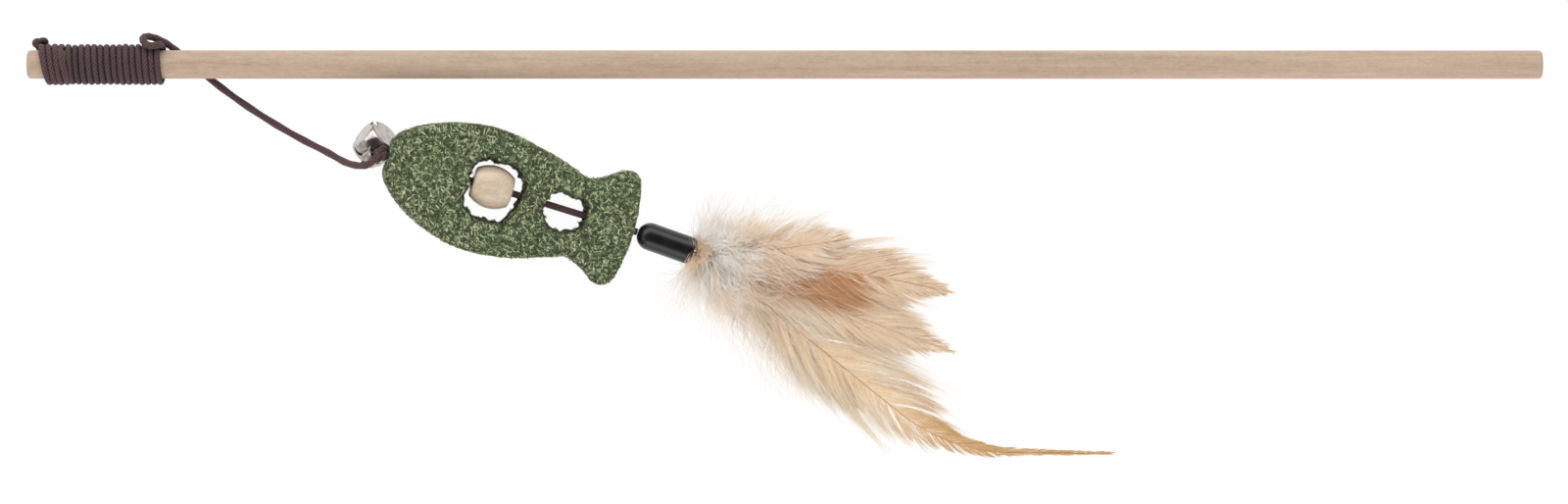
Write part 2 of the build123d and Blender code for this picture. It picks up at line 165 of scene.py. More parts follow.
class Graph:
    """The node tree of one material or of the world."""

    def __init__(self, tree: bpy.types.NodeTree) -> None:
        """Clear the tree."""
        self.tree = tree
        tree.nodes.clear()

    def node(self, kind: str, settings: dict, inputs: dict, output: int | str = 0) -> Socket | None:
        """Add a node.

        Args:
            kind: The node's type.
            settings: Its properties, and stops where it is a ramp.
            inputs: Values or sockets by the input's name or number.
            output: Which output to return.

        Returns:
            The output as a value, or None where the node has no outputs.
        """
        made = self.tree.nodes.new(kind)
        for name, value in settings.items():
            if name == "stops":
                self.set_stops(made.color_ramp, value)
            else:
                setattr(made, name, value)
        for name, value in inputs.items():
            if isinstance(value, Socket):
                self.tree.links.new(value.socket, made.inputs[name])
            else:
                made.inputs[name].default_value = value
        return Socket(self, made.outputs[output]) if len(made.outputs) else None

    @staticmethod
    def set_stops(ramp: bpy.types.ColorRamp, stops: list) -> None:
        """Give a ramp its stops, each a place and a colour."""
        while len(ramp.elements) < len(stops):
            ramp.elements.new(1)
        for element, (place, colour) in zip(ramp.elements, stops):
            element.position = place
            element.color = (*colour, 1)

    def place(self, scale: tuple = (1, 1, 1)) -> Socket:
        """The piece's own coordinates, scaled, in steps per metre."""
        own = self.node("ShaderNodeTexCoord", {}, {}, "Object")
        return self.node("ShaderNodeMapping", {}, {"Vector": own, "Scale": scale})

    def noise(self, where: Socket, scale: float, detail: float, rough: float = 0.6) -> Socket:
        """Cloudy noise from 0 to 1."""
        inputs = {"Vector": where, "Scale": scale, "Detail": detail, "Roughness": rough}
        return self.node("ShaderNodeTexNoise", {}, inputs)

    def ramp(self, value: Socket, stops: list) -> Socket:
        """Colours along a value."""
        return self.node("ShaderNodeValToRGB", {"stops": stops}, {"Fac": value})

    def greys(self, value: Socket, stops: tuple) -> Socket:
        """Greys along a value, each stop a place and a brightness."""
        return self.ramp(value, [(place, (share,) * 3) for place, share in stops])

    def blend(self, share: object, first: object, second: object, way: str = "MIX") -> Socket:
        """Mix two colours."""
        inputs = {0: share, 6: first, 7: second}
        inputs = {key: (*v, 1) if isinstance(v, tuple) else v for key, v in inputs.items()}
        settings = {"data_type": "RGBA", "blend_type": way}
        return self.node("ShaderNodeMix", settings, inputs, 2)

    def bump(self, height: Socket, depth: float, strength: float) -> Socket:
        """A bump of a depth in millimetres."""
        inputs = {"Height": height, "Distance": depth * MM, "Strength": strength}
        return self.node("ShaderNodeBump", {}, inputs)

    def surface(self, **inputs: object) -> None:
        """End the material in a Principled shader.

        Args:
            inputs: Values by the socket's name, with _ for a space.
        """
        named = {name.replace("_", " "): value for name, value in inputs.items()}
        named = {k: (*v, 1) if isinstance(v, tuple) and len(v) == 3 else v for k, v in named.items()}
        shader = self.node("ShaderNodeBsdfPrincipled", {}, named)
        self.node("ShaderNodeOutputMaterial", {}, {"Surface": shader})


@dataclass(frozen=True)
class Finish:
    """A finish of one material, made once and kept by name."""

    name: str

    def material(self) -> bpy.types.Material:
        """The material, made at its first use."""
        found = bpy.data.materials.get(self.name)
        if found:
            return found
        made = bpy.data.materials.new(self.name)
        made.use_nodes = True
        self.paint(Graph(made.node_tree))
        return made

    def paint(self, graph: Graph) -> None:
        """Fill the material's graph."""
        raise NotImplementedError

    def dress(self, piece: Piece) -> None:
        """Put the finish on a piece."""
        piece.data.materials.clear()
        piece.data.materials.append(self.material())
        for face in piece.data.polygons:
            face.material_index = 0


@dataclass(frozen=True)
class BareWood(Finish):
    """Pale sanded wood with fine grain along X, each pattern in steps per metre."""

    light: Colour
    dark: Colour
    roughness: float = 0.6
    coat: float = 0.0
    grain: float = 1.0
    streak_steps: tuple = (9, 260, 260)
    fibre_steps: tuple = (45, 2600, 2600)
    pore_steps: tuple = (160, 5200, 5200)
    mottle_steps: tuple = (220, 420, 420)
    fleck_steps: tuple = (700, 1700, 1700)
    pore_tint: tuple = (0.62, 0.55, 0.48)
    coat_roughness: float = 0.12
    relief: float = 0.08

    def paint(self, graph: Graph) -> None:
        """Broad streaks, fine fibres, mottling, flecks and short pores."""
        streak = graph.noise(graph.place(self.streak_steps), 1.0, 3)
        fibre = graph.noise(graph.place(self.fibre_steps), 1.0, 4, 0.7)
        pores = graph.noise(graph.place(self.pore_steps), 1.0, 2)
        mottle = graph.noise(graph.place(self.mottle_steps), 1.0, 5)
        fleck = graph.noise(graph.place(self.fleck_steps), 1.0, 3, 0.7)
        shade = streak * 0.30 + fibre * 0.28 + mottle * 0.16 + fleck * 0.26
        colour = graph.ramp(shade, [(0.38, self.dark), (0.62, self.light)])
        spots = graph.ramp(pores, [(0.27, self.pore_tint), (0.36, WHITE)])
        graph.surface(
            Base_Color=graph.blend(0.7 * self.grain, colour, spots, "MULTIPLY"),
            Roughness=self.roughness + (fibre - 0.5) * 0.2,
            Coat_Weight=self.coat,
            Coat_Roughness=self.coat_roughness,
            Normal=graph.bump(fibre * 0.6 + pores * 0.4, self.relief * self.grain, 0.6),
        )


@dataclass(frozen=True)
class Braid(Finish):
    """Tightly braided elastic cord, on a UV map in turns and millimetres."""

    light: Colour
    dark: Colour
    strands: int = 6
    stitch: float = 1.25
    fuzz_scale: float = 4200
    cloud_scale: float = 300
    # Darkness of the painted groove shade, as a share of the dark tint.
    groove_shade_share: float = 0.08
    relief: float = 0.3

    def paint(self, graph: Graph) -> None:
        """Crossing strands with fuzz between, and painted shade in the grooves where turns touch."""
        own = graph.node("ShaderNodeUVMap", {"uv_map": "braid"}, {})
        split = graph.node("ShaderNodeSeparateXYZ", {}, {"Vector": own}, "X")
        around = split * (2 * math.pi * self.strands)
        run = split.part("Y") * (2 * math.pi / self.stitch)
        weave = (around + run).wave().larger((around - run).wave()) * 0.5 + 0.5
        fuzz = graph.noise(graph.place(), self.fuzz_scale, 3, 0.8)
        cloud = graph.noise(graph.place(), self.cloud_scale, 3)
        shade = weave * 0.5 + fuzz * 0.42 + cloud * 0.2
        colour = graph.ramp(shade, [(0.34, self.dark), (0.86, self.light)])
        # Painted shade: where this value falls to 0, in the grooves between wound turns, the colour goes to
        # a near-black tint in place of real shade.
        groove_unshaded = graph.node("ShaderNodeAttribute", {"attribute_name": "groove_unshaded"}, {}, "Fac")
        painted_groove_shade = tuple(channel * self.groove_shade_share for channel in self.dark)
        graph.surface(
            Base_Color=graph.blend(groove_unshaded, painted_groove_shade, colour),
            Roughness=0.9,
            Sheen_Weight=0.12,
            Sheen_Roughness=0.5,
            Specular_IOR_Level=0.2,
            Normal=graph.bump(weave * 0.7 + fuzz * 0.3, self.relief, 0.9),
        )


@dataclass(frozen=True)
class Plated(Finish):
    """Bright nickel plate with faint dirt and scratches."""

    colour: Colour
    roughness: float = 0.09
    blotch_scale: float = 420
    scratch_steps: tuple = (2200, 380, 900)
    stain_tint: tuple = (0.62, 0.57, 0.53)
    relief: float = 0.1

    def paint(self, graph: Graph) -> None:
        """Polished metal, duller in blotches."""
        blotch = graph.noise(graph.place(), self.blotch_scale, 4)
        scratch = graph.noise(graph.place(self.scratch_steps), 1.0, 3)
        stain = graph.ramp(blotch, [(0.36, self.stain_tint), (0.56, WHITE)])
        graph.surface(
            Base_Color=graph.blend(0.7, self.colour, stain, "MULTIPLY"),
            Metallic=1.0,
            Roughness=self.roughness + blotch * 0.1,
            Normal=graph.bump(scratch * 0.4 + blotch * 0.6, self.relief, 0.5),
        )


@dataclass(frozen=True)
class PressedHerb(Finish):
    """Dried leaf crumbs, pressed to a block, with a sliver's size in metres."""

    ground: tuple
    leaves: tuple
    sliver: tuple = (0.0022, 0.00046, 0.0007)
    turns: tuple = (8, 52, 97, 139)
    dust_scale: float = 2600
    cloud_scale: float = 170
    leaf_from: float = 0.46
    leaf_edge: float = 0.46
    # Tint of the painted shade in small pits.
    pit_shade_tint: tuple = (0.5, 0.48, 0.42)
    # Near-black tint of the painted shade deep in the windows.
    window_shade_tint: tuple = tone(26, 27, 19)
    relief: float = 0.3

    def paint(self, graph: Graph) -> None:
        """Slivers of leaf that lie in several directions on darker dust, with painted shade in small pits
        and deep in the windows.
        """
        own = graph.node("ShaderNodeTexCoord", {}, {}, "Object")
        dust = graph.noise(own, self.dust_scale, 4, 0.75)
        cloud = graph.noise(own, self.cloud_scale, 3)
        colour = graph.ramp(dust * 0.8 + cloud * 0.3, list(self.ground))
        relief = dust * 0.5
        for number, turn in enumerate(self.turns):
            way = {"Rotation": (0.1 * number, 0.2, math.radians(turn)), "Scale": self.sliver}
            where = graph.node("ShaderNodeMapping", {"vector_type": "TEXTURE"}, {"Vector": own, **way})
            cell = graph.node("ShaderNodeTexVoronoi", {}, {"Vector": where, "Scale": 1.0}, "Color")
            pick = graph.node("ShaderNodeSeparateColor", {}, {"Color": cell}, "Red")
            inside = (self.leaf_edge - cell.part("Distance") + dust * 0.06).over(0.0)
            shown = pick.over(self.leaf_from) * inside
            leaf = graph.ramp(pick.part("Green") + (dust - 0.5) * 0.5, list(self.leaves))
            colour = graph.blend(shown, colour, leaf)
            relief = relief + shown * 0.35
        # Painted shade in small pits: darker where the dust noise, and with it the bump, is low.
        painted_pit_shade = graph.ramp(dust, [(0.30, self.pit_shade_tint), (0.44, WHITE)])
        # Painted shade: points deep in a window are darkened towards a near-black tint in place of real
        # shade.
        painted_window_shade = graph.node("ShaderNodeAttribute", {"attribute_name": "painted_window_shade"}, {}, "Fac")
        colour = graph.blend(painted_window_shade * 0.8, colour, self.window_shade_tint)
        graph.surface(
            Base_Color=graph.blend(0.7, colour, painted_pit_shade, "MULTIPLY"),
            Roughness=0.9,
            Specular_IOR_Level=0.3,
            Normal=graph.bump(relief, self.relief, 0.7),
        )


@dataclass(frozen=True)
class Tinted(Finish):
    """Barbs, fluff or flakes that carry their own tint."""

    roughness: float = 0.8
    streak: float = 0.18
    sheen: float = 0.0
    cloud_scale: float = 1400

    def paint(self, graph: Graph) -> None:
        """The tint, a little lighter or darker in streaks."""
        tint = graph.node("ShaderNodeVertexColor", {"layer_name": "tint"}, {})
        cloud = graph.noise(graph.place(), self.cloud_scale, 3)
        streak = graph.greys(cloud, ((0.3, 1 - self.streak), (0.7, 1)))
        graph.surface(
            Base_Color=graph.blend(1.0, tint, streak, "MULTIPLY"),
            Roughness=self.roughness,
            Sheen_Weight=self.sheen,
            Specular_IOR_Level=0.25,
        )


@dataclass(frozen=True)
class Moulded(Finish):
    """A plain solid of one colour, a little uneven: plastic, steel, glue or quill."""

    colour: Colour
    roughness: float
    metallic: float = 0.0
    coat: float = 0.0
    flow_scale: float = 260
    dust_scale: float = 3800
    relief: float = 0.03

    def paint(self, graph: Graph) -> None:
        """One colour with faint flow marks and handling dust."""
        flow = graph.noise(graph.place(), self.flow_scale, 4)
        dust = graph.noise(graph.place(), self.dust_scale, 2)
        paler = tuple(min(1.0, channel * 1.5 + 0.004) for channel in self.colour)
        graph.surface(
            Base_Color=graph.ramp(flow * 0.7 + dust * 0.3, [(0.35, self.colour), (0.75, paler)]),
            Roughness=self.roughness + flow * 0.12,
            Metallic=self.metallic,
            Coat_Weight=self.coat,
            Normal=graph.bump(dust, self.relief, 0.4),
        )


ROD_WOOD = BareWood("rod wood", tone(205, 180, 158), tone(170, 143, 120))
BEAD_WOOD = BareWood("lacquered bead", tone(224, 206, 182), tone(184, 157, 127), 0.34, 0.8, 0.9)
CORD_BRAID = Braid("braided cord", tone(106, 80, 82), tone(44, 29, 31))
BELL_PLATE = Plated("bell plate", (0.53, 0.49, 0.465))
PEA_STEEL = Moulded("pea steel", (0.32, 0.32, 0.33), 0.35, 1.0)
CAP_PLASTIC = Moulded("cap plastic", tone(13, 13, 17), 0.22, 0.0, 0.15)
GLUE = Moulded("quill glue", tone(206, 196, 172), 0.5)
QUILL = Moulded("quill", tone(176, 132, 98), 0.45)
HERB = PressedHerb(
    "pressed herb",
    ((0.30, tone(32, 34, 26)), (0.52, tone(58, 64, 44)), (0.75, tone(92, 102, 72))),
    (
        (0.00, tone(52, 58, 44)),
        (0.36, tone(80, 90, 64)),
        (0.62, tone(114, 126, 92)),
        (0.82, tone(160, 174, 134)),
        (1.00, tone(212, 218, 178)),
    ),
)
FLAKES = Tinted("herb flakes", 0.85, 0.3)
BARBS = Tinted("feather barbs", 0.6, 0.10, 0.15)
FLUFF = Tinted("down fluff", 0.8, 0.03, 0.2)
KNOT_CORD = Moulded("cord end", tone(76, 58, 58), 0.9)


@dataclass
class Placing:
    """An origin in metres with three directions."""

    origin: Vector
    ahead: Vector
    left: Vector
    above: Vector

    @classmethod
    def along(cls, origin: Vector, ahead: Vector) -> "Placing":
        """A placing with a level left side.

        Args:
            origin: Its origin, in metres.
            ahead: Its first direction.

        Returns:
            The placing.
        """
        ahead = ahead.normalized()
        left = UP.cross(ahead).normalized()
        return cls(origin, ahead, left, ahead.cross(left))

    def point(self, x: float, y: float = 0.0, z: float = 0.0) -> Vector:
        """A point in metres, from millimetres in this placing."""
        return self.origin + (self.ahead * x + self.left * y + self.above * z) * MM

    def points(self, local: np.ndarray) -> np.ndarray:
        """Many points in metres, from millimetres in this placing."""
        axes = np.array([tuple(way) for way in (self.ahead, self.left, self.above)])
        return np.array(tuple(self.origin)) + local @ axes * MM

    def matrix(self) -> Matrix:
        """The placing as a matrix, for meshes in metres."""
        turn = Matrix((self.ahead, self.left, self.above)).transposed().to_4x4()
        return Matrix.Translation(self.origin) @ turn


def select_only(piece: Piece) -> None:
    """Deselect everything else and make the piece active."""
    for other in bpy.context.selected_objects:
        other.select_set(False)
    piece.select_set(True)
    bpy.context.view_layer.objects.active = piece


@contextmanager
def editing(piece: Piece) -> Iterator[None]:
    """Edit a piece's whole mesh, then go back to object mode."""
    select_only(piece)
    bpy.ops.object.mode_set(mode="EDIT")
    bpy.ops.mesh.select_all(action="SELECT")
    yield
    bpy.ops.object.mode_set(mode="OBJECT")


def apply_modifier(piece: Piece, kind: str, **settings: object) -> None:
    """Add a modifier, set it and apply it.

    Args:
        piece: The mesh object.
        kind: The modifier's type.
        settings: Its properties.
    """
    select_only(piece)
    modifier = piece.modifiers.new(kind.lower(), kind)
    for name, value in settings.items():
        setattr(modifier, name, value)
    bpy.ops.object.modifier_apply(modifier=modifier.name)


def bevel(piece: Piece, width: float, degrees: float, segments: int) -> None:
    """Round a piece's sharp edges.

    Args:
        piece: The mesh object.
        width: The rounding's width, in millimetres.
        degrees: How sharply an edge that is rounded turns.
        segments: How many steps the rounding has.
    """
    limit = {"limit_method": "ANGLE", "angle_limit": math.radians(degrees)}
    apply_modifier(piece, "BEVEL", width=width * MM, segments=segments, **limit)


def cut(piece: Piece, cutters: list) -> None:
    """Cut bodies out of a piece, one after the other, and remove them."""
    for cutter in cutters:
        apply_modifier(piece, "BOOLEAN", operation="DIFFERENCE", object=cutter, solver="EXACT")
        bpy.data.objects.remove(cutter)


def points_of(piece: Piece) -> np.ndarray:
    """A piece's points, in metres."""
    points = np.zeros(len(piece.data.vertices) * 3)
    piece.data.vertices.foreach_get("co", points)
    return points.reshape(-1, 3)


def note(piece: Piece, name: str, values: np.ndarray) -> None:
    """Keep a value on each point of a piece, for its finish to read."""
    kept = piece.data.attributes
    layer = kept.get(name) or kept.new(name, "FLOAT", "POINT")
    layer.data.foreach_set("value", values)


def settle(piece: Piece, placing: Placing) -> Piece:
    """Put a piece's place into its mesh, with its object at the origin.

    Args:
        piece: A piece modelled in metres in the placing's own frame.
        placing: Where it goes.

    Returns:
        The piece.
    """
    piece.data.transform(placing.matrix() @ piece.matrix_basis)
    piece.matrix_basis = Matrix.Identity(4)
    return piece


def mesh_piece(name: str, points: list, faces: list, edges: list = ()) -> Piece:
    """A new mesh object.

    Args:
        name: The piece's name.
        points: Its points, in metres.
        faces: Its faces, as point numbers.
        edges: Its loose edges.

    Returns:
        The object, in the scene.
    """
    mesh = bpy.data.meshes.new(name)
    mesh.from_pydata(points, edges, faces)
    mesh.update()
    piece = bpy.data.objects.new(name, mesh)
    bpy.context.scene.collection.objects.link(piece)
    return piece


def smooth(piece: Piece, degrees: float) -> None:
    """Shade a piece smooth, with edges where it turns sharply."""
    select_only(piece)
    bpy.ops.object.shade_smooth_by_angle(angle=math.radians(degrees))


def mend(piece: Piece) -> None:
    """Merge doubles and turn all faces outwards."""
    with editing(piece):
        bpy.ops.mesh.remove_doubles(threshold=MERGE)
        bpy.ops.mesh.normals_make_consistent(inside=False)


def spun(name: str, profile: list, steps: int) -> Piece:
    """A body of revolution about X.

    Args:
        name: The piece's name.
        profile: Places along the axis and radii, in millimetres.
        steps: How many steps a turn has.

    Returns:
        The piece, unplaced.
    """
    points = [(along * MM, 0, radius * MM) for along, radius in profile]
    edges = [(n, n + 1) for n in range(len(points) - 1)]
    piece = mesh_piece(name, points, [], edges)
    with editing(piece):
        bpy.ops.mesh.spin(steps=steps, angle=2 * math.pi, center=(0, 0, 0), axis=(1, 0, 0))
    mend(piece)
    return piece


def arc(centre: tuple, radius: float, start: float, stop: float, steps: int) -> list:
    """Points on an arc.

    Args:
        centre: Its centre.
        radius: Its radius.
        start, stop: Its end angles, in degrees.
        steps: How many steps it has.

    Returns:
        The points, ends included.
    """
    angles = [math.radians(start + (stop - start) * n / steps) for n in range(steps + 1)]
    return [(centre[0] + radius * math.cos(a), centre[1] + radius * math.sin(a)) for a in angles]


def spline_points(route: list, fineness: int) -> list:
    """Points on the smooth line of a route.

    Args:
        route: The route's control points, in metres.
        fineness: Steps for each control point.

    Returns:
        The points, read from a NURBS spline of order 3.
    """
    curve = bpy.data.curves.new("route", "CURVE")
    curve.dimensions = "3D"
    curve.resolution_u = fineness
    spline = curve.splines.new("NURBS")
    spline.points.add(len(route) - 1)
    for control, point in zip(spline.points, route):
        control.co = (*point, 1)
    spline.order_u = 3
    spline.use_endpoint_u = True
    holder = bpy.data.objects.new("route", curve)
    bpy.context.scene.collection.objects.link(holder)
    line = bpy.data.meshes.new_from_object(holder)
    points = [vertex.co.copy() for vertex in line.vertices]
    bpy.data.objects.remove(holder)
    bpy.data.curves.remove(curve)
    bpy.data.meshes.remove(line)
    return points


def tube(
    name: str, line: list, radius: Callable[[float], float], sides: int, ribs: float = 0.0
) -> Piece:
    """A closed tube along a line, with the braid's UV map.

    Args:
        name: The piece's name.
        line: Its centre line, in metres.
        radius: A function of the share along the line, in millimetres.
        sides: How many sides it has.
        ribs: How far the braid's strands stand out, in millimetres.

    Returns:
        The piece, with UV in turns around and millimetres along.
    """
    centre = np.array([tuple(p) for p in line])
    tangent = np.gradient(centre, axis=0)
    tangent /= np.linalg.norm(tangent, axis=1)[:, None]
    lengths = np.concatenate([[0], np.cumsum(np.linalg.norm(np.diff(centre, axis=0), axis=1))]) / MM
    slanting = (0.31, 0.17, 0.93)
    normal = np.cross(tangent[0], slanting)
    points, rings = [], len(centre)
    for n in range(rings):
        normal = normal - tangent[n] * normal.dot(tangent[n])
        normal /= np.linalg.norm(normal)
        other = np.cross(tangent[n], normal)
        reach = radius(lengths[n] / lengths[-1])
        for side in range(sides):
            turn = 2 * math.pi * side / sides
            braid = ribs * math.cos(4 * turn + (n % 4) * math.pi / 2)
            outward = normal * math.cos(turn) + other * math.sin(turn)
            points.append(centre[n] + outward * (reach + braid) * MM)
    faces = [
        (n * sides + s, n * sides + (s + 1) % sides, (n + 1) * sides + (s + 1) % sides, (n + 1) * sides + s)
        for n in range(rings - 1)
        for s in range(sides)
    ]
    last = (rings - 1) * sides
    faces += [tuple(range(sides))[::-1], tuple(last + s for s in range(sides))]
    piece = mesh_piece(name, [tuple(p) for p in points], faces)
    layer = piece.data.uv_layers.new(name="braid")
    for face in piece.data.polygons:
        wraps = {piece.data.loops[n].vertex_index % sides for n in face.loop_indices} == {0, sides - 1}
        for n in face.loop_indices:
            ring, side = divmod(piece.data.loops[n].vertex_index, sides)
            around = 1.0 if wraps and side == 0 else side / sides
            layer.data[n].uv = (around, lengths[ring])
    # A new tube starts with no painted groove shade.
    note(piece, "groove_unshaded", np.ones(len(points)))
    smooth(piece, 60)
    return piece


def between(mix: np.ndarray, tints: tuple) -> np.ndarray:
    """Colours on the way from a first tint over a second to a third.

    Args:
        mix: How far on the way, from 0 to 1, with a last axis of one.
        tints: Three linear colours.

    Returns:
        The colours, on the last axis.
    """
    first, second, third = (np.array(tint) for tint in tints)
    return np.where(mix < 0.5, first + (second - first) * mix * 2, second + (third - second) * (mix * 2 - 1))


def strands(
    name: str,
    centres: np.ndarray,
    widths: np.ndarray,
    flat: float,
    tints: np.ndarray,
    floor: float = HAIR_FLOOR,
    ups: np.ndarray | None = None,
) -> Piece:
    """Many thin closed strands of three sides.

    Args:
        name: The piece's name.
        centres: Strands by points by three, in metres.
        widths: Strands by points, in metres; the last point is the tip.
        flat: Thickness as a share of the width.
        tints: Strands by points by three, linear colours.
        floor: The lowest level of a centre, in millimetres.
        ups: The upward side of each strand; level where left out.

    Returns:
        The piece, with a colour attribute named tint.
    """
    count, knots, _ = centres.shape
    centres = np.concatenate([centres[..., :2], np.maximum(centres[..., 2:], floor * MM)], axis=2)
    tangents = np.gradient(centres, axis=1)
    tangents /= np.linalg.norm(tangents, axis=2)[..., None] + 1e-12
    up = np.tile(np.array((0.0, 0.0, 1.0)), (count, 1)) if ups is None else ups
    aside = np.cross(np.broadcast_to(up[:, None, :], tangents.shape), tangents)
    aside /= np.linalg.norm(aside, axis=2)[..., None] + 1e-9
    above = np.cross(tangents, aside)
    half = widths[..., None] / 2
    body = slice(0, knots - 1)
    ring = np.stack(
        [
            (centres - aside * half - above * half * flat)[:, body],
            (centres + aside * half - above * half * flat)[:, body],
            (centres + above * half * flat)[:, body],
        ],
        axis=2,
    ).reshape(count, -1, 3)
    points = np.concatenate([ring, centres[:, -1:, :]], axis=1)
    each = points.shape[1]
    pattern = [(2, 1, 0)]
    for n in range(knots - 2):
        for s in range(3):
            t = (s + 1) % 3
            pattern.append((3 * n + s, 3 * n + t, 3 * n + 3 + t, 3 * n + 3 + s))
    tip, base = each - 1, 3 * (knots - 2)
    pattern += [(base + s, base + (s + 1) % 3, tip) for s in range(3)]
    faces = [tuple(start + n for n in face) for start in range(0, count * each, each) for face in pattern]
    piece = mesh_piece(name, points.reshape(-1, 3).tolist(), faces)
    tints = np.clip(tints, 0, 1)
    colours = np.concatenate([np.repeat(tints[:, body], 3, axis=1), tints[:, -1:]], axis=1).reshape(-1, 3)
    layer = piece.data.color_attributes.new("tint", "FLOAT_COLOR", "POINT")
    layer.data.foreach_set("color", np.concatenate([colours, np.ones((len(colours), 1))], axis=1).ravel())
    return piece


@dataclass
class Rod:
    """The wooden dowel, on the axis that the winding turns about."""

    placing: Placing
    length: float = 480.0
    radius: float = 4.5
    end_round: float = 1.2

    def build(self) -> Piece:
        """Turn the dowel with rounded ends.

        Returns:
            The rod.
        """
        steps = 120
        rim = self.radius - self.end_round
        profile = [(0, 0), (0, rim * 0.5)]
        profile += arc((self.end_round, rim), self.end_round, 180, 90, 6)
        body = self.length - 4 * self.end_round
        profile += [(2 * self.end_round + body * n / steps, self.radius) for n in range(steps + 1)]
        profile += arc((self.length - self.end_round, rim), self.end_round, 90, 0, 6)
        profile += [(self.length, rim * 0.5), (self.length, 0)]
        rod = settle(spun("rod_dowel", profile, 64), self.placing)
        smooth(rod, 50)
        ROD_WOOD.dress(rod)
        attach(rod, "rod")
        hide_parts("rod")
        return rod


@dataclass
class Cord:
    """The braided cord: wound on the rod, hitched, and led to the fish's nose."""

    rod: Placing
    swing: Vector
    eye: Vector
    knot: Vector
    diameter: float = 2.2
    wound_radius: float = 0.95
    turns: int = 19
    station: float = 5.2
    pitch: float = 1.98
    start_angle: float = -15.0
    helix_radius: float = 5.56
    points_a_turn: int = 24
    fineness: int = 4
    seed: int = 7
    drift: float = 0.05
    swell: float = 0.10
    first_slant: float = 0.75
    slanting_turns: float = 5
    last_slant: float = 0.12
    cross_turn: float = 3.06
    cross_turns: float = 0.5
    cross_slip: float = 0.4
    cross_lift: float = 0.6
    thick_share: float = 0.8
    thick_from: float = 1.3
    thick_fall: float = 5.5
    free_ease: float = 0.012
    # Where the painted groove shade starts above the helix, and over what share of the cord's radius it
    # fades.
    groove_shade_level: float = 0.12
    groove_shade_share: float = 0.72
    hitch_room: float = 3
    ribs: float = 0.08
    knot_ribs: float = 0.02
    bend_way: tuple = (1, -0.35, 0)
    bend_reach: float = 3
    tip_shift: float = 1.5
    loop_radius: float = 0.8
    loop_route: tuple = ((1.4, 0.0), (-1.6, 0.0), (-3.2, 1.0))
    loop_end: tuple = (-134.0, 28.5, 16.6)
    hitch_route: tuple = (
        (42.4, 6.5, 4.7),
        (40.6, 5.8, 5.9),
        (38.8, 5.8, 6.0),
        (37.1, 7.0, 5.1),
        (36.7, 8.3, 3.4),
        (37.9, 9.0, 1.6),
        (40.6, 8.4, -0.7),
        (43.5, 7.0, -3.0),
        (46.4, 4.8, -5.1),
    )
    free_route: tuple = (
        (-179.2, 53.4, 1.15),
        (-171.0, 47.5, 1.15),
        (-161.6, 41.5, 1.15),
        (-152.5, 36.4, 1.6),
        (-144.6, 32.6, 4.9),
        (-139.2, 29.4, 10.2),
        (-134.6, 28.3, 16.0),
        (-130.9, 28.5, 19.6),
    )

    def winding(self) -> list:
        """The wound turns, slightly uneven, the first ones slanting.

        Returns:
            Control points, in metres.
        """
        chance = np.random.default_rng(self.seed)
        drift = np.cumsum(chance.normal(0, self.drift, self.turns + 2))
        drift -= np.linspace(drift[0], drift[-1], len(drift))
        swell = chance.normal(0, self.swell, self.turns + 2)
        points = []
        for n in range(self.turns * self.points_a_turn + 1):
            turn = n / self.points_a_turn
            angle = math.radians(self.start_angle) + 2 * math.pi * turn
            slant = self.first_slant * max(0.0, 1 - turn / self.slanting_turns) + self.last_slant
            at = np.interp(turn, range(len(drift)), drift)
            radius = self.helix_radius + np.interp(turn, range(len(swell)), swell)
            along = self.station + self.pitch * turn + at - slant * math.cos(angle)
            cross = np.clip((turn - self.cross_turn) / self.cross_turns, 0, 1)
            along -= self.cross_slip * math.sin(2 * math.pi * cross)
            radius += self.cross_lift * math.sin(math.pi * cross) ** 2
            points.append(self.rod.point(along, radius * math.cos(angle), radius * math.sin(angle)))
        return points

    def girth(self, share: float, wound: float) -> float:
        """The tube's radius, larger on the first turns and on the free run.

        Args:
            share: How far along the cord, from 0 to 1.
            wound: Where the winding ends, on the same scale.

        Returns:
            The radius, in millimetres.
        """
        free = np.clip((share - wound) / self.free_ease, 0, 1)
        first = np.clip(self.thick_from - self.thick_fall * share / wound, 0, 1)
        thick = max(free, self.thick_share * first)
        return float(self.wound_radius + (self.diameter / 2 - self.wound_radius) * thick)

    def build(self) -> list:
        """Lay the cord and its knots.

        Returns:
            The pieces.
        """
        wound = self.winding()
        hitch = [self.rod.point(*point) for point in self.hitch_route]
        free = [Vector(point) * MM for point in self.free_route]
        line = spline_points([*wound, *hitch, self.swing, *free, self.knot], self.fineness)
        lengths = np.cumsum([(b - a).length for a, b in zip(line, line[1:])])
        wound_share = float(lengths[(len(wound) - 2) * self.fineness] / lengths[-1])
        cord = tube("braided_cord", line, lambda share: self.girth(share, wound_share), 16, self.ribs)
        self.shade_turns(cord)
        CORD_BRAID.dress(cord)
        slope = Vector(self.bend_way).normalized() * self.bend_reach * MM
        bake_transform(cord, "winding", "cord", start=self.swing - slope, end=self.swing + slope)
        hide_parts("cord_winding", "cord_hitch", "cord_free")
        nose_knot = self.knotted("nose_knot", self.knot, scale=0.56, radius=0.96, turn=0.5)
        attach(nose_knot, "cord")
        eye_loop = self.eye_loop()
        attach(eye_loop, "cord")
        tip_knot = self.knotted("tip_end_knot", self.tip_middle(), scale=0.66, radius=0.85, turn=2.2)
        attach(tip_knot, "winding")
        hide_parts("tip_knot")
        self.diameter * MM
        return [cord, nose_knot, eye_loop, tip_knot]

    def eye_loop(self) -> Piece:
        """The short loop of the knot that holds the bell's eye.

        Returns:
            The loop.
        """
        ahead = (self.knot - self.eye).normalized()
        route = [self.eye + ahead * along * MM + UP * rise * MM for along, rise in self.loop_route]
        line = spline_points([self.knot, *route, Vector(self.loop_end) * MM], 6)
        piece = tube("eye_loop", line, lambda share: self.loop_radius, 12, self.knot_ribs)
        CORD_BRAID.dress(piece)
        return piece

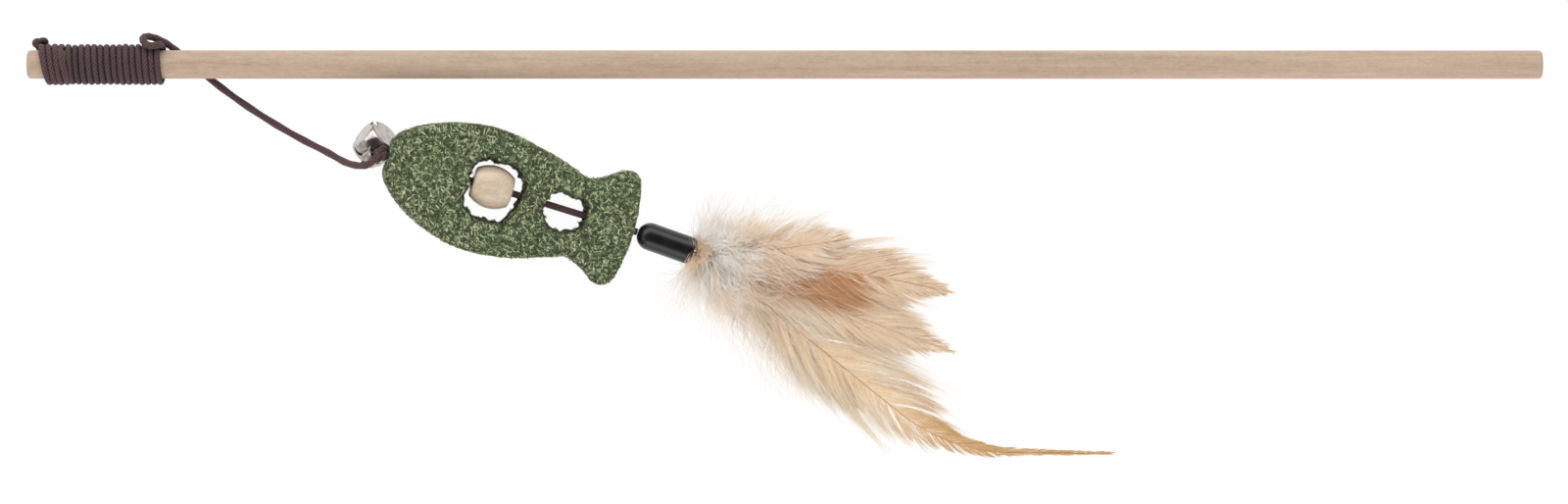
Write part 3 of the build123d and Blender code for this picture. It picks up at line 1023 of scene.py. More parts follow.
    def shade_turns(self, cord: Piece) -> None:
        """Note on each point how much painted shade it gets: full in the grooves between turns, none where
        it lies in the open air.
        """
        offsets = points_of(cord) - np.array(tuple(self.rod.origin))
        axis = np.array(tuple(self.rod.ahead))
        station = offsets @ axis
        away = np.linalg.norm(offsets - station[:, None] * axis, axis=1) / MM
        depth = self.groove_shade_share * self.wound_radius
        share = np.clip((away - self.helix_radius - self.groove_shade_level) / depth, 0, 1)
        last = (self.station + self.pitch * self.turns + self.hitch_room) * MM
        # Painted shade only on the winding; the free cord past it gets none.
        note(cord, "groove_unshaded", np.where(station > last, 1.0, share))

    def tip_middle(self) -> Vector:
        """The middle of the knot at the rod's tip."""
        low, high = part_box("tip_knot")
        return (Vector(low) + Vector(high)) / 2 + self.rod.left * self.tip_shift * MM

    def knotted(
        self, name: str, middle: Vector, scale: float, radius: float, turn: float
    ) -> Piece:
        """A small pulled knot.

        Args:
            name: The piece's name.
            middle: Its middle, in metres.
            scale: The loops' size, in millimetres.
            radius: The cord's radius in it, in millimetres.
            turn: How it is turned, in radians.

        Returns:
            The knot.
        """
        count, closed, lift = 30, 0.96, 1.2
        turned = Matrix.Rotation(turn, 3, "Z")
        places = []
        for n in range(count):
            t = 2 * math.pi * closed * n / (count - 1)
            x = math.sin(t) + 2 * math.sin(2 * t)
            y = math.cos(t) - 2 * math.cos(2 * t)
            lobe = Vector((x, y, -lift * math.sin(3 * t)))
            places.append(middle + turned @ (lobe * scale * MM))
        piece = tube(name, spline_points(places, self.fineness), lambda share: radius, 12, self.knot_ribs)
        CORD_BRAID.dress(piece)
        return piece


@dataclass
class Bell:
    """A small square cushion bell with crossed slots and a strap eye."""

    eye: Vector
    cord_way: Vector
    up: Vector
    radius: float = 7.25
    flats: float = 5.2
    wall: float = 0.5
    turn: float = 8.0
    slot_width: float = 1.2
    slot_hole: float = 1.2
    slot_level: float = 1.81
    eye_stand: float = 1.8
    eye_radius: float = 2.2
    strap: float = 0.6
    strap_width: float = 3.2
    strap_sinks: tuple = (0.6, 1.0)
    strap_break: float = 0.14
    edge_round: float = 0.3
    edge_break: float = 0.08

    def placing(self) -> Placing:
        """The bell's middle, with its eye above."""
        across = (self.cord_way - self.up * self.cord_way.dot(self.up)).normalized()
        middle = self.eye - self.up * (self.radius + self.eye_stand) * MM
        return Placing(middle, across, self.up.cross(across), self.up)

    def pressed_ball(self, shrink: float) -> Piece:
        """A ball pressed to a cushion.

        Args:
            shrink: How much smaller than the bell it is, in millimetres.

        Returns:
            The cushion, in the bell's own frame.
        """
        bpy.ops.mesh.primitive_ico_sphere_add(subdivisions=6, radius=(self.radius - shrink) * MM)
        ball = bpy.context.object
        turned = Matrix.Rotation(math.radians(self.turn), 4, "Z")
        for vertex in ball.data.vertices:
            place = vertex.co / MM
            for axis in (0, 1):
                over = abs(place[axis]) - self.flats + shrink + self.edge_round
                if over > 0:
                    eased = self.flats - shrink - self.edge_round * math.exp(-over / self.edge_round)
                    place[axis] = math.copysign(eased, place[axis])
            vertex.co = turned @ (place * MM)
        return ball

    def shell(self) -> Piece:
        """Hollow the cushion and cut its slots.

        Returns:
            The shell.
        """
        shell = self.pressed_ball(0)
        shell.name = shell.data.name = "bell_shell_plate"
        cut(shell, [self.pressed_ball(self.wall), *self.cutters()])
        bevel(shell, self.edge_break, 60, 2)
        return shell

    def cutters(self) -> list:
        """The slots' cutting blocks and round holes.

        Returns:
            The cutters, in the bell's own frame.
        """
        found = []
        for quarter in (45, 135):
            angle = math.radians(self.turn + quarter)
            size = (4 * self.radius * MM, self.slot_width * MM, 2 * self.radius * MM)
            bpy.ops.mesh.primitive_cube_add(size=1, location=(0, 0, -(self.radius + self.slot_level) * MM))
            block = bpy.context.object
            block.scale = size
            block.rotation_euler = (0, 0, angle)
            found.append(block)
            bpy.ops.mesh.primitive_cylinder_add(
                vertices=32,
                radius=self.slot_hole * MM,
                depth=4 * self.radius * MM,
                location=(0, 0, -self.slot_level * MM),
            )
            hole = bpy.context.object
            hole.rotation_euler = (0, math.radians(90), angle)
            found.append(hole)
        return found

    def strap_eye(self) -> Piece:
        """Bend a strap over the crown.

        Returns:
            The eye.
        """
        middle = self.radius + self.eye_stand
        rings = []
        for radius, sink in zip((self.eye_radius, self.eye_radius + self.strap), self.strap_sinks):
            foot = -self.eye_stand - sink
            rings.append([(radius, foot), *arc((0, 0), radius, 0, 180, 24), (-radius, foot)])
        half, count = self.strap_width / 2, len(rings[0])
        points = [
            (x * MM, y * MM, (middle + z) * MM) for x in (-half, half) for ring in rings for y, z in ring
        ]
        a, b, c, d = 0, count, 2 * count, 3 * count
        faces = []
        for n in range(count - 1):
            faces += [(a + n, a + n + 1, b + n + 1, b + n), (c + n, d + n, d + n + 1, c + n + 1)]
            faces += [(a + n, c + n, c + n + 1, a + n + 1), (b + n, b + n + 1, d + n + 1, d + n)]
        for n in (0, count - 1):
            faces.append((a + n, b + n, d + n, c + n))
        eye = mesh_piece("bell_strap_eye", points, faces)
        mend(eye)
        bevel(eye, self.strap_break, 50, 3)
        return eye

    def build(self) -> list:
        """Model and dress the shell and the eye.

        Returns:
            The pieces.
        """
        made = []
        for piece, node in ((self.shell(), "bell_shell"), (self.strap_eye(), "bell_eye")):
            settle(piece, self.placing())
            smooth(piece, 35)
            BELL_PLATE.dress(piece)
            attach(piece, "bell")
            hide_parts(node)
            made.append(piece)
        return made


@dataclass
class Fish:
    """The pressed herb fish with its two windows, the bead and the cord through it.

    Sizes are in millimetres; a pair holds the limits or the measures of a random spread.
    """

    placing: Placing
    bead_middle: Vector
    length: float = 82.0
    depth: float = 40.2
    thickness: float = 10.0
    edge_round: float = 2.0
    bore: float = 1.5
    window: tuple = (17.0, 17.6, 6.0)
    window_share: tuple = (0.430, -0.027)
    tail_window: tuple = (12.4, 10.8, 5.0)
    tail_window_share: tuple = (0.715, -0.022)
    window_dents: tuple = ((182.0, 0.8, 30.0), (-18.0, 1.3, 28.0))
    rim_step: float = 0.45
    rim_wave: float = 0.20
    rim_waves: tuple = (3, 5, 8, 13, 19)
    outline_steps: int = 8
    rim_rough: float = 0.22
    rim_crumble: float = 0.12
    rim_growths: tuple = (
        (-2.0, 0.3),
        (-1.0, 0.25),
        (-0.5, 0.0),
        (0.1, 0.2),
        (0.5, 0.7),
        (1.0, 1.5),
        (2.0, 3.0),
    )
    grain: float = 0.40
    lumps: tuple = (("clods", 3.2, 0.38), ("crumbs", 0.9, 0.28))
    lump_level: float = 0.95
    shade_from: float = 0.7
    shade_depth: float = 2.4
    shade_room: float = 2.2
    shade_floor: float = -4
    flake_count: int = 5800
    flake_seed: int = 21
    flake_tilt: float = 0.16
    flake_length: tuple = (8.0, 0.21)
    flake_lift: tuple = (-0.05, 0.12)
    flake_bend: tuple = (0.0, 0.05, 0.04, -0.03)
    flake_widths: tuple = (0.16, 0.38)
    flake_taper: tuple = (0.5, 1.0, 0.85, 0.1)
    flake_flat: float = 0.3
    flake_floor: float = 0.2
    flake_shades: tuple = (0.85, 1.15)
    flake_greens: tuple = (
        (tone(60, 72, 46), 0.22),
        (tone(90, 106, 68), 0.25),
        (tone(126, 144, 98), 0.24),
        (tone(164, 180, 132), 0.17),
        (tone(206, 212, 166), 0.09),
        (tone(128, 104, 74), 0.03),
    )
    bead_half: float = 6.4
    bead_end: float = 4.6
    bead_bore: float = 1.5
    bead_radius: float = 6.9
    bead_round: float = 0.35
    bead_ease: float = 0.25
    cord_radius: float = 1.1
    cord_ribs: float = 0.025
    outline_shares: tuple = (
        (0.000, -0.010),
        (-0.003, 0.135),
        (0.062, 0.270),
        (0.201, 0.400),
        (0.383, 0.463),
        (0.584, 0.403),
        (0.685, 0.350),
        (0.766, 0.298),
        (0.816, 0.331),
        (0.897, 0.438),
        (0.954, 0.425),
        (0.983, 0.270),
        (0.997, -0.010),
        (0.988, -0.270),
        (0.967, -0.435),
        (0.912, -0.490),
        (0.836, -0.402),
        (0.771, -0.358),
        (0.705, -0.400),
        (0.534, -0.510),
        (0.348, -0.537),
        (0.171, -0.440),
        (0.052, -0.288),
        (0.000, -0.157),
    )

    def outline(self) -> list:
        """The closed outline, as a smooth curve through its shares.

        Returns:
            Points along and across, in millimetres.
        """
        ring = [Vector((a * self.length, b * self.depth)) for a, b in self.outline_shares]
        count, points = len(ring), []
        for n in range(count):
            p0, p1, p2, p3 = (ring[(n + k - 1) % count] for k in range(4))
            for step in range(self.outline_steps):
                t = step / self.outline_steps
                bend = (2 * p0 - 5 * p1 + 4 * p2 - p3) * t**2
                twist = (3 * p1 - p0 - 3 * p2 + p3) * t**3
                points.append(0.5 * (2 * p1 + (p2 - p0) * t + bend + twist))
        return points

    def prism(self, name: str, outline: list, low: float, high: float) -> Piece:
        """Extrude an outline.

        Args:
            name: The piece's name.
            outline: Points along and across, in millimetres.
            low, high: Its lower and upper level, in millimetres.

        Returns:
            The closed prism.
        """
        points = [(p[0] * MM, p[1] * MM, low * MM) for p in outline]
        piece = mesh_piece(name, points, [tuple(range(len(outline)))])
        with editing(piece):
            bpy.ops.mesh.extrude_region_move(TRANSFORM_OT_translate={"value": (0, 0, (high - low) * MM)})
        mend(piece)
        return piece

    def window_cutter(self, sizes: tuple, share: tuple, seed: int, dents: tuple = ()) -> Piece:
        """A cutter for a window whose rims have crumbled.

        Args:
            sizes: Its length, width and corner radius, in millimetres.
            share: Its middle, as shares of the fish's length and depth.
            seed: A seed for the crumbling.
            dents: Where the wall bulges inwards: angle, depth in millimetres and half-width in degrees.

        Returns:
            The cutter, unplaced.
        """
        chance = np.random.default_rng(seed)
        x, y, radius = sizes
        middle = np.array((share[0] * self.length, share[1] * self.depth))
        ring = []
        for n, (sx, sy) in enumerate(((1, 1), (-1, 1), (-1, -1), (1, -1))):
            ring += arc((sx * (x / 2 - radius), sy * (y / 2 - radius)), radius, 90 * n, 90 * n + 90, 14)
        ring = np.array(ring + ring[:1])
        run = np.concatenate([[0], np.cumsum(np.linalg.norm(np.diff(ring, axis=0), axis=1))])
        count = int(run[-1] / self.rim_step)
        even = np.linspace(0, run[-1], count, endpoint=False)
        ring = np.stack([np.interp(even, run, ring[:, axis]) for axis in (0, 1)], axis=-1)
        outward = ring / np.linalg.norm(ring, axis=1)[:, None]
        turn = np.linspace(0, 2 * math.pi, count, endpoint=False)
        half = self.thickness / 2
        levels = [(share * half, grow) for share, grow in self.rim_growths]
        points, faces = [], []
        wave = sum(self.rim_wave * np.cos(k * turn + chance.uniform(*PHASES)) for k in self.rim_waves)
        facing = np.degrees(np.arctan2(ring[:, 1], ring[:, 0]))
        for angle, deep, half_width in dents:
            apart = (facing - angle + 180) % 360 - 180
            wave -= deep * np.exp(-((apart / half_width) ** 2))
        for z, grow in levels:
            rough = wave + chance.normal(0, self.rim_rough + self.rim_crumble * grow, count)
            for place in middle + ring + outward * (grow + rough)[:, None]:
                points.append((place[0] * MM, place[1] * MM, z * MM))
        for level in range(len(levels) - 1):
            a, b = level * count, (level + 1) * count
            faces += [(a + n, a + (n + 1) % count, b + (n + 1) % count, b + n) for n in range(count)]
        faces += [tuple(range(count))[::-1], tuple(range((len(levels) - 1) * count, len(levels) * count))]
        cutter = mesh_piece("window", points, faces)
        mend(cutter)
        return cutter

    def body(self) -> Piece:
        """Press the slab, cut its windows and crumble its surface.

        Returns:
            The body, unplaced.
        """
        half = self.thickness / 2
        body = self.prism("herb_fish", self.outline(), -half, half)
        bevel(body, self.edge_round, 60, 4)
        cutters = [
            self.window_cutter(self.window, self.window_share, seed=3, dents=self.window_dents),
            self.window_cutter(self.tail_window, self.tail_window_share, seed=4),
        ]
        bpy.ops.mesh.primitive_cylinder_add(vertices=32, radius=self.bore * MM, depth=2 * self.length * MM)
        cutters.append(bpy.context.object)
        cutters[-1].rotation_euler = (0, math.radians(90), 0)
        cut(body, cutters)
        apply_modifier(body, "REMESH", mode="VOXEL", voxel_size=self.grain * MM)
        for name, size, strength in self.lumps:
            clouds = bpy.data.textures.new(name, "CLOUDS")
            clouds.noise_scale = size * MM
            clouds.noise_depth = 2
            displace = {"texture": clouds, "texture_coords": "LOCAL", "mid_level": self.lump_level}
            apply_modifier(body, "DISPLACE", strength=strength * MM, **displace)
        self.shade_windows(body)
        return body

    def shade_windows(self, body: Piece) -> None:
        """Note on each point how much painted shade it gets from lying deep in a window."""
        points = points_of(body) / MM
        deep = (self.thickness / 2 - self.shade_from - points[:, 2]) / self.shade_depth
        inside = np.zeros(len(points), bool)
        for sizes, share in ((self.window, self.window_share), (self.tail_window, self.tail_window_share)):
            middle = np.array((share[0] * self.length, share[1] * self.depth))
            room = np.array(sizes[:2]) / 2 + self.shade_room
            inside |= np.all(np.abs(points[:, :2] - middle) < room, axis=1)
        inside &= points[:, 2] > self.shade_floor
        note(body, "painted_window_shade", np.where(inside, np.clip(deep, 0, 1), 0.0))

    def flakes(self, body: Piece) -> Piece:
        """Press leaf slivers into the body's surface.

        Args:
            body: The placed body.

        Returns:
            The flakes.
        """
        chance = np.random.default_rng(self.flake_seed)
        mesh = body.data
        areas = np.zeros(len(mesh.polygons))
        mesh.polygons.foreach_get("area", areas)
        picks = chance.choice(len(areas), self.flake_count, p=areas / areas.sum())
        middles = np.array([mesh.polygons[n].center for n in picks])
        normals = np.array([mesh.polygons[n].normal for n in picks])
        ways = np.cross(normals, chance.normal(size=normals.shape))
        ways /= np.linalg.norm(ways, axis=1)[:, None]
        ways += normals * chance.normal(0, self.flake_tilt, (len(picks), 1))
        length = chance.gamma(*self.flake_length, len(picks))[:, None] * MM
        lift = chance.uniform(*self.flake_lift, (len(picks), 1)) * MM
        steps = zip(np.linspace(-0.5, 0.5, len(self.flake_bend)), self.flake_bend)
        lines = [middles + ways * length * step + normals * (lift + length * curl) for step, curl in steps]
        widths = chance.uniform(*self.flake_widths, len(picks))[:, None] * np.array(self.flake_taper) * MM
        greens, shares = zip(*self.flake_greens)
        chosen = np.array(greens)[chance.choice(len(greens), len(picks), p=shares)]
        shades = chance.uniform(*self.flake_shades, (len(picks), 1, 1))
        tints = np.repeat(chosen[:, None, :], len(lines), axis=1) * shades
        centres = np.stack(lines, axis=1)
        flakes = strands("herb_flakes", centres, widths, self.flake_flat, tints, self.flake_floor, normals)
        FLAKES.dress(flakes)
        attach(flakes, "fish")
        return flakes

    def bead(self) -> Piece:
        """Turn the barrel bead.

        Returns:
            The bead.
        """
        half, end, bore, soft = self.bead_half, self.bead_end, self.bead_bore, self.bead_round
        sag = self.bead_radius - end
        radius = (half**2 + sag**2) / (2 * sag)
        spread = math.degrees(math.asin((half - self.bead_ease) / radius))
        profile = arc((0, self.bead_radius - radius), radius, 90 + spread, 90 - spread, 28)
        profile += [(half, end - soft), (half, bore + soft), (half - soft, bore), (-half + soft, bore)]
        profile += [(-half, bore + soft), (-half, end - soft)]
        profile.append(profile[0])
        placing = Placing(self.bead_middle, self.placing.ahead, self.placing.left, self.placing.above)
        bead = settle(spun("barrel_bead", profile, 72), placing)
        smooth(bead, 40)
        BEAD_WOOD.dress(bead)
        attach(bead, "bead")
        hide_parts("bead")
        return bead

    def cord(self, pivot: Vector) -> Piece:
        """Thread the cord through, from the nose to the pivot behind the tail.

        Args:
            pivot: The far end, in metres.

        Returns:
            The cord.
        """
        steps = 160
        line = [self.placing.origin.lerp(pivot, n / steps) for n in range(steps + 1)]
        cord = tube("threaded_cord", line, lambda share: self.cord_radius, 14, self.cord_ribs)
        CORD_BRAID.dress(cord)
        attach(cord, "toy_cord")
        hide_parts("cord_through")
        return cord

    def build(self, pivot: Vector) -> list:
        """Model and dress the fish, its bead and the cord through it.

        Args:
            pivot: Where the cord ends behind the tail, in metres.

        Returns:
            The pieces.
        """
        body = settle(self.body(), self.placing)
        smooth(body, 60)
        HERB.dress(body)
        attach(body, "fish")
        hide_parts("fish_body")
        return [body, self.flakes(body), self.bead(), self.cord(pivot)]


@dataclass
class Cap:
    """The black plastic cap that holds the quills."""

    pivot: Vector
    length: float = 19.0
    radius: float = 4.4
    wall: float = 0.9
    bore: float = 1.5
    heading: float = -19.5
    floor_gap: float = 0.05

    def placing(self) -> Placing:
        """The cap's axis, which droops until its mouth is on the table."""
        drop = self.pivot.z / MM - self.radius - 2 * self.floor_gap
        lean = math.asin(drop / self.length)
        turn = math.radians(self.heading)
        ahead = Vector((math.cos(lean) * math.cos(turn), math.cos(lean) * math.sin(turn), -math.sin(lean)))
        return Placing.along(self.pivot, ahead)

    def mouth(self) -> Placing:
        """The level placing at the cap's mouth."""
        turn = math.radians(self.heading)
        return Placing.along(self.placing().point(self.length), Vector((math.cos(turn), math.sin(turn), 0)))

    def build(self) -> list:
        """Turn the bullet with its bore and a rounded lip.

        Returns:
            The pieces.
        """
        inner = self.radius - self.wall
        lip = self.wall / 2
        start = math.degrees(math.asin(self.bore / self.radius))
        profile = arc((self.radius, 0), self.radius, 180 - start, 90, 20)
        flank = self.length - lip - self.radius
        profile += [(self.radius + flank * n / 10, self.radius) for n in range(1, 10)]
        profile += arc((self.length - lip, self.radius - lip), lip, 90, -90, 10)
        profile += [(self.radius, inner)]
        start = math.degrees(math.asin(self.bore / inner))
        profile += arc((self.radius, 0), inner, 90, 180 - start, 12)
        profile.append(profile[0])
        cap = settle(spun("quill_cap", profile, 72), self.placing())
        smooth(cap, 45)
        CAP_PLASTIC.dress(cap)
        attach(cap, "cap")
        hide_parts("feather_cap")
        return [cap]


@dataclass(frozen=True)
class Layer:
    """A layer of barbs: how far they stretch, how they lie and which part of the vane they take."""

    stretch: float = 1.0
    drop: float = 0.0
    spacing: float = 0.085
    width: float = 0.15
    first: float = 0.0
    last: float = 1.0
    tints: tuple = ()
    spread: float = 1.0
    sides: tuple = tuple(Side)


@dataclass
class Feather:
    """One feather: its shaft and its barbs.

    Lengths are in millimetres and angles in degrees. Soft means the downy part near the
    quill. A pair or a triple holds the measures of a random spread.
    """

    name: str
    placing: Placing
    fan: float
    bow: float
    straight: float
    bowed: float
    tip: float
    reaches: dict
    level: float
    seed: int
    tints: tuple
    shares: tuple = ((0.0, 0.10), (0.15, 0.62), (0.40, 1.00), (0.72, 0.88), (0.93, 0.42), (1.0, 0.04))
    tail_tint: tuple = (0.0, 0.0, 0.0)
    tail_from: float = 1000.0
    tail_fade: float = 5.0
    tail_ragged: float = 2.5
    root_angle: float = 44.0
    tip_angle: float = 16.0
    clump: float = 1.3
    pull: float = 0.75
    spread: float = 1.8
    soft: float = 0.30
    layers: tuple = (Layer(),)
    right_shares: tuple = ()
    depth: float = 9.0
    run: float = 2.0
    bare: float = 8.0
    fan_radius: float = 12.0
    quill_radius: float = 0.45
    quill_taper: float = 0.93
    down_tint: tuple = tone(252, 236, 216)
    down_share: float = 0.75
    knots: int = 8
    line_steps: int = 800
    shaft_steps: int = 90
    reach_rounds: int = 14
    least_reach: float = 0.35
    least_slope: float = 0.34
    root_closing: float = 0.3
    tip_closing: float = 0.5
    barb_lean: float = 2.2
    soft_fade: float = 1.4
    soft_lean: float = 16
    end_lean: float = 1.2
    turn_power: float = 0.8
    clump_stretch: tuple = (0.84, 1.12)
    barb_stretch: tuple = (0.55, 1.0, 1.12)
    soft_curl: float = 0.55
    soft_waves: tuple = (3, 8)
    clump_hold: tuple = (0.35, 1.0)
    hold_power: float = 2.6
    clump_rise: float = 0.3
    barb_rise: float = 0.12
    arch: float = 0.5
    soft_rise: tuple = (0.4, 0.9)
    barb_widths: tuple = (0.75, 1.25)
    soft_thin: float = 0.45
    taper: tuple = ((0, 0.1, 0.6, 1), (0.7, 1, 0.7, 0.12))
    flat: float = 0.3
    tint_blur: float = 0.07
    clump_shades: tuple = (0.93, 1.04)
    barb_shades: tuple = (0.95, 1.03)

    def runs(self) -> np.ndarray:
        """Where the shaft's runs end: the quill, the fan, the straight, the bow and the tip."""
        fan = self.fan_radius * abs(math.radians(self.fan))
        return np.cumsum([self.depth + self.run, fan, self.straight, self.bowed, self.tip])

    def shaft(self, station: np.ndarray) -> tuple[np.ndarray, np.ndarray]:
        """Places and headings on the shaft's line.

        Args:
            station: Distances from the quill's end, in millimetres.

        Returns:
            Places in the feather's plane, in millimetres, and headings in radians.
        """
        ends = self.runs()
        fine = np.linspace(0, ends[-1], self.line_steps)
        bends = np.zeros_like(fine)
        bends[(fine > ends[0]) & (fine <= ends[1])] = math.copysign(1 / self.fan_radius, self.fan)
        bends[(fine > ends[2]) & (fine <= ends[3])] = math.radians(self.bow) / self.bowed
        step = fine[1]
        heading = np.cumsum(bends) * step
        x = np.cumsum(np.cos(heading)) * step - self.depth
        y = np.cumsum(np.sin(heading)) * step
        places = np.stack([np.interp(station, fine, x), np.interp(station, fine, y)], axis=-1)
        return places, np.interp(station, fine, heading)

    def quill(self, share: float) -> float:
        """The shaft's radius at a share along it, in millimetres."""
        return self.quill_radius * (1 - self.quill_taper * share**0.5)

    def rachis(self) -> Piece:
        """Draw the tapering shaft.

        Returns:
            The shaft.
        """
        places, _ = self.shaft(np.linspace(0, self.runs()[-1], self.shaft_steps))
        line = [self.placing.point(x, y, self.level) for x, y in places]
        piece = tube(f"{self.name}_rachis", line, self.quill, 8)
        QUILL.dress(piece)
        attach(piece, "cap")
        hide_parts(f"{self.name}_shaft")
        return piece

    def reach_of(
        self, share: np.ndarray, vane: float, lie: np.ndarray, side: Side, most: float
    ) -> np.ndarray:
        """How far each barb reaches aside, so that its end lies on the web's outline.

        Args:
            share: Where the barbs start, as shares of the vane.
            vane: The vane's length, in millimetres.
            lie: The barbs' middle angles to the shaft, in radians.
            side: Which side of the shaft.
            most: The largest reach, in millimetres.

        Returns:
            The reaches, in millimetres.
        """
        shares = self.right_shares if side is Side.RIGHT and self.right_shares else self.shares
        places, outline = zip(*shares)
        reach = np.interp(share, places, outline) * most
        for _ in range(self.reach_rounds):
            ends = share + reach / np.tan(lie) / vane
            reach = (reach + np.interp(ends, places, outline) * most) / 2
        return np.maximum(reach, self.least_reach)

    def side_barbs(
        self, side: Side, layer: Layer, chance: np.random.Generator
    ) -> tuple[np.ndarray, np.ndarray, np.ndarray]:
        """The barbs of one side, drawn together to clumps at their ends.

        Args:
            side: Which side of the shaft.
            layer: Which layer of barbs.
            chance: The source of chance.

        Returns:
            Their lines in millimetres, their widths and their tints.
        """
        steps = np.linspace(0, 1, self.knots)[None, :]
        first = self.depth + self.run + self.bare
        vane = self.runs()[-1] - first
        count = int(vane * (layer.last - layer.first) / layer.spacing)
        share = np.sort(chance.uniform(layer.first, layer.last, count))
        cuts = np.sort(chance.uniform(0, 1, int(vane / self.clump)))
        clump = np.searchsorted(cuts, share)
        clumps = len(cuts) + 1
        soft = np.clip(self.soft_fade - self.soft_fade * share / self.soft, 0, 1)
        places, heading = self.shaft(first + share * vane)
        root = np.radians(self.root_angle * (1 - self.root_closing * share))
        end = np.radians(self.tip_angle * (1 - self.tip_closing * share))
        reach = self.reach_of(share, vane, (root + end) / 2, side, self.reaches[side] * layer.stretch)
        lean = chance.normal(0, self.spread * layer.spread, clumps)[clump]
        lean += chance.normal(0, self.barb_lean, count)
        lean += chance.normal(0, self.soft_lean, count) * soft
        stretch = chance.uniform(*self.clump_stretch, clumps)[clump]
        stretch *= chance.triangular(*self.barb_stretch, count)
        root = root + np.radians(lean)
        end = end + np.radians(lean * self.end_lean)
        slope = np.maximum(np.sin((root + end) / 2), self.least_slope)
        turn = root[:, None] + (end - root)[:, None] * steps**self.turn_power
        angle = heading[:, None] + side.value * turn
        phase = chance.uniform(*PHASES, (count, 1))
        waves = chance.uniform(*self.soft_waves, (count, 1))
        angle += soft[:, None] * self.soft_curl * np.sin(steps * waves + phase)
        stride = (reach * stretch / slope)[:, None] / (self.knots - 1)
        x = places[:, :1] + np.cumsum(np.cos(angle) * stride, axis=1) - np.cos(angle[:, :1]) * stride
        y = places[:, 1:] + np.cumsum(np.sin(angle) * stride, axis=1) - np.sin(angle[:, :1]) * stride
        line = np.stack([x, y], axis=-1)
        mean = np.zeros((clumps, self.knots, 2))
        np.add.at(mean, clump, line)
        mean /= np.maximum(np.bincount(clump, minlength=clumps), 1)[:, None, None]
        hold = (1 - soft) * chance.uniform(*self.clump_hold, clumps)[clump] * self.pull
        line += (mean[clump] - line) * (hold[:, None] * steps**self.hold_power)[..., None]
        rise = chance.normal(0, self.clump_rise, clumps)[clump][:, None] * steps
        rise = rise + chance.normal(0, self.barb_rise, (count, 1)) * steps
        fluffed = chance.normal(*self.soft_rise, (count, 1)) * steps * soft[:, None]
        rise = rise + (self.arch * np.sin(math.pi * steps) + fluffed)
        local = np.concatenate([line, (self.level - layer.drop + rise)[..., None]], axis=-1)
        widths = layer.width * chance.uniform(*self.barb_widths, (count, 1))
        widths = widths * (1 - self.soft_thin * soft[:, None]) * np.interp(steps, *self.taper)
        mix = np.clip(steps + chance.normal(0, self.tint_blur, (count, 1)), 0, 1)[..., None]
        tints = between(mix, layer.tints or self.tints)
        tints = tints * chance.uniform(*self.clump_shades, clumps)[clump][:, None, None]
        tints = tints + (np.array(self.down_tint) - tints) * soft[:, None, None] * self.down_share
        far_out = np.linalg.norm(line, axis=2) + chance.normal(0, self.tail_ragged, clumps)[clump][:, None]
        tail = np.clip((far_out - self.tail_from) / self.tail_fade, 0, 1)[..., None]
        tints = tints + (np.array(self.tail_tint) - tints) * tail
        return local, widths, tints * chance.uniform(*self.barb_shades, (count, 1, 1))

    def barbs(self) -> Piece:
        """Grow the barbs of both sides.

        Returns:
            The barbs.
        """
        chance = np.random.default_rng(self.seed)
        both = [self.side_barbs(side, layer, chance) for layer in self.layers for side in layer.sides]
        local, widths, tints = (np.concatenate(arrays) for arrays in zip(*both))
        barbs = strands(f"{self.name}_barbs", self.placing.points(local), widths * MM, self.flat, tints)
        BARBS.dress(barbs)
        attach(barbs, "cap")
        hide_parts(f"{self.name}_left_web", f"{self.name}_right_web")
        return barbs

    def build(self) -> list:
        """Model and dress the feather.

        Returns:
            The pieces.
        """
        return [self.rachis(), self.barbs()]


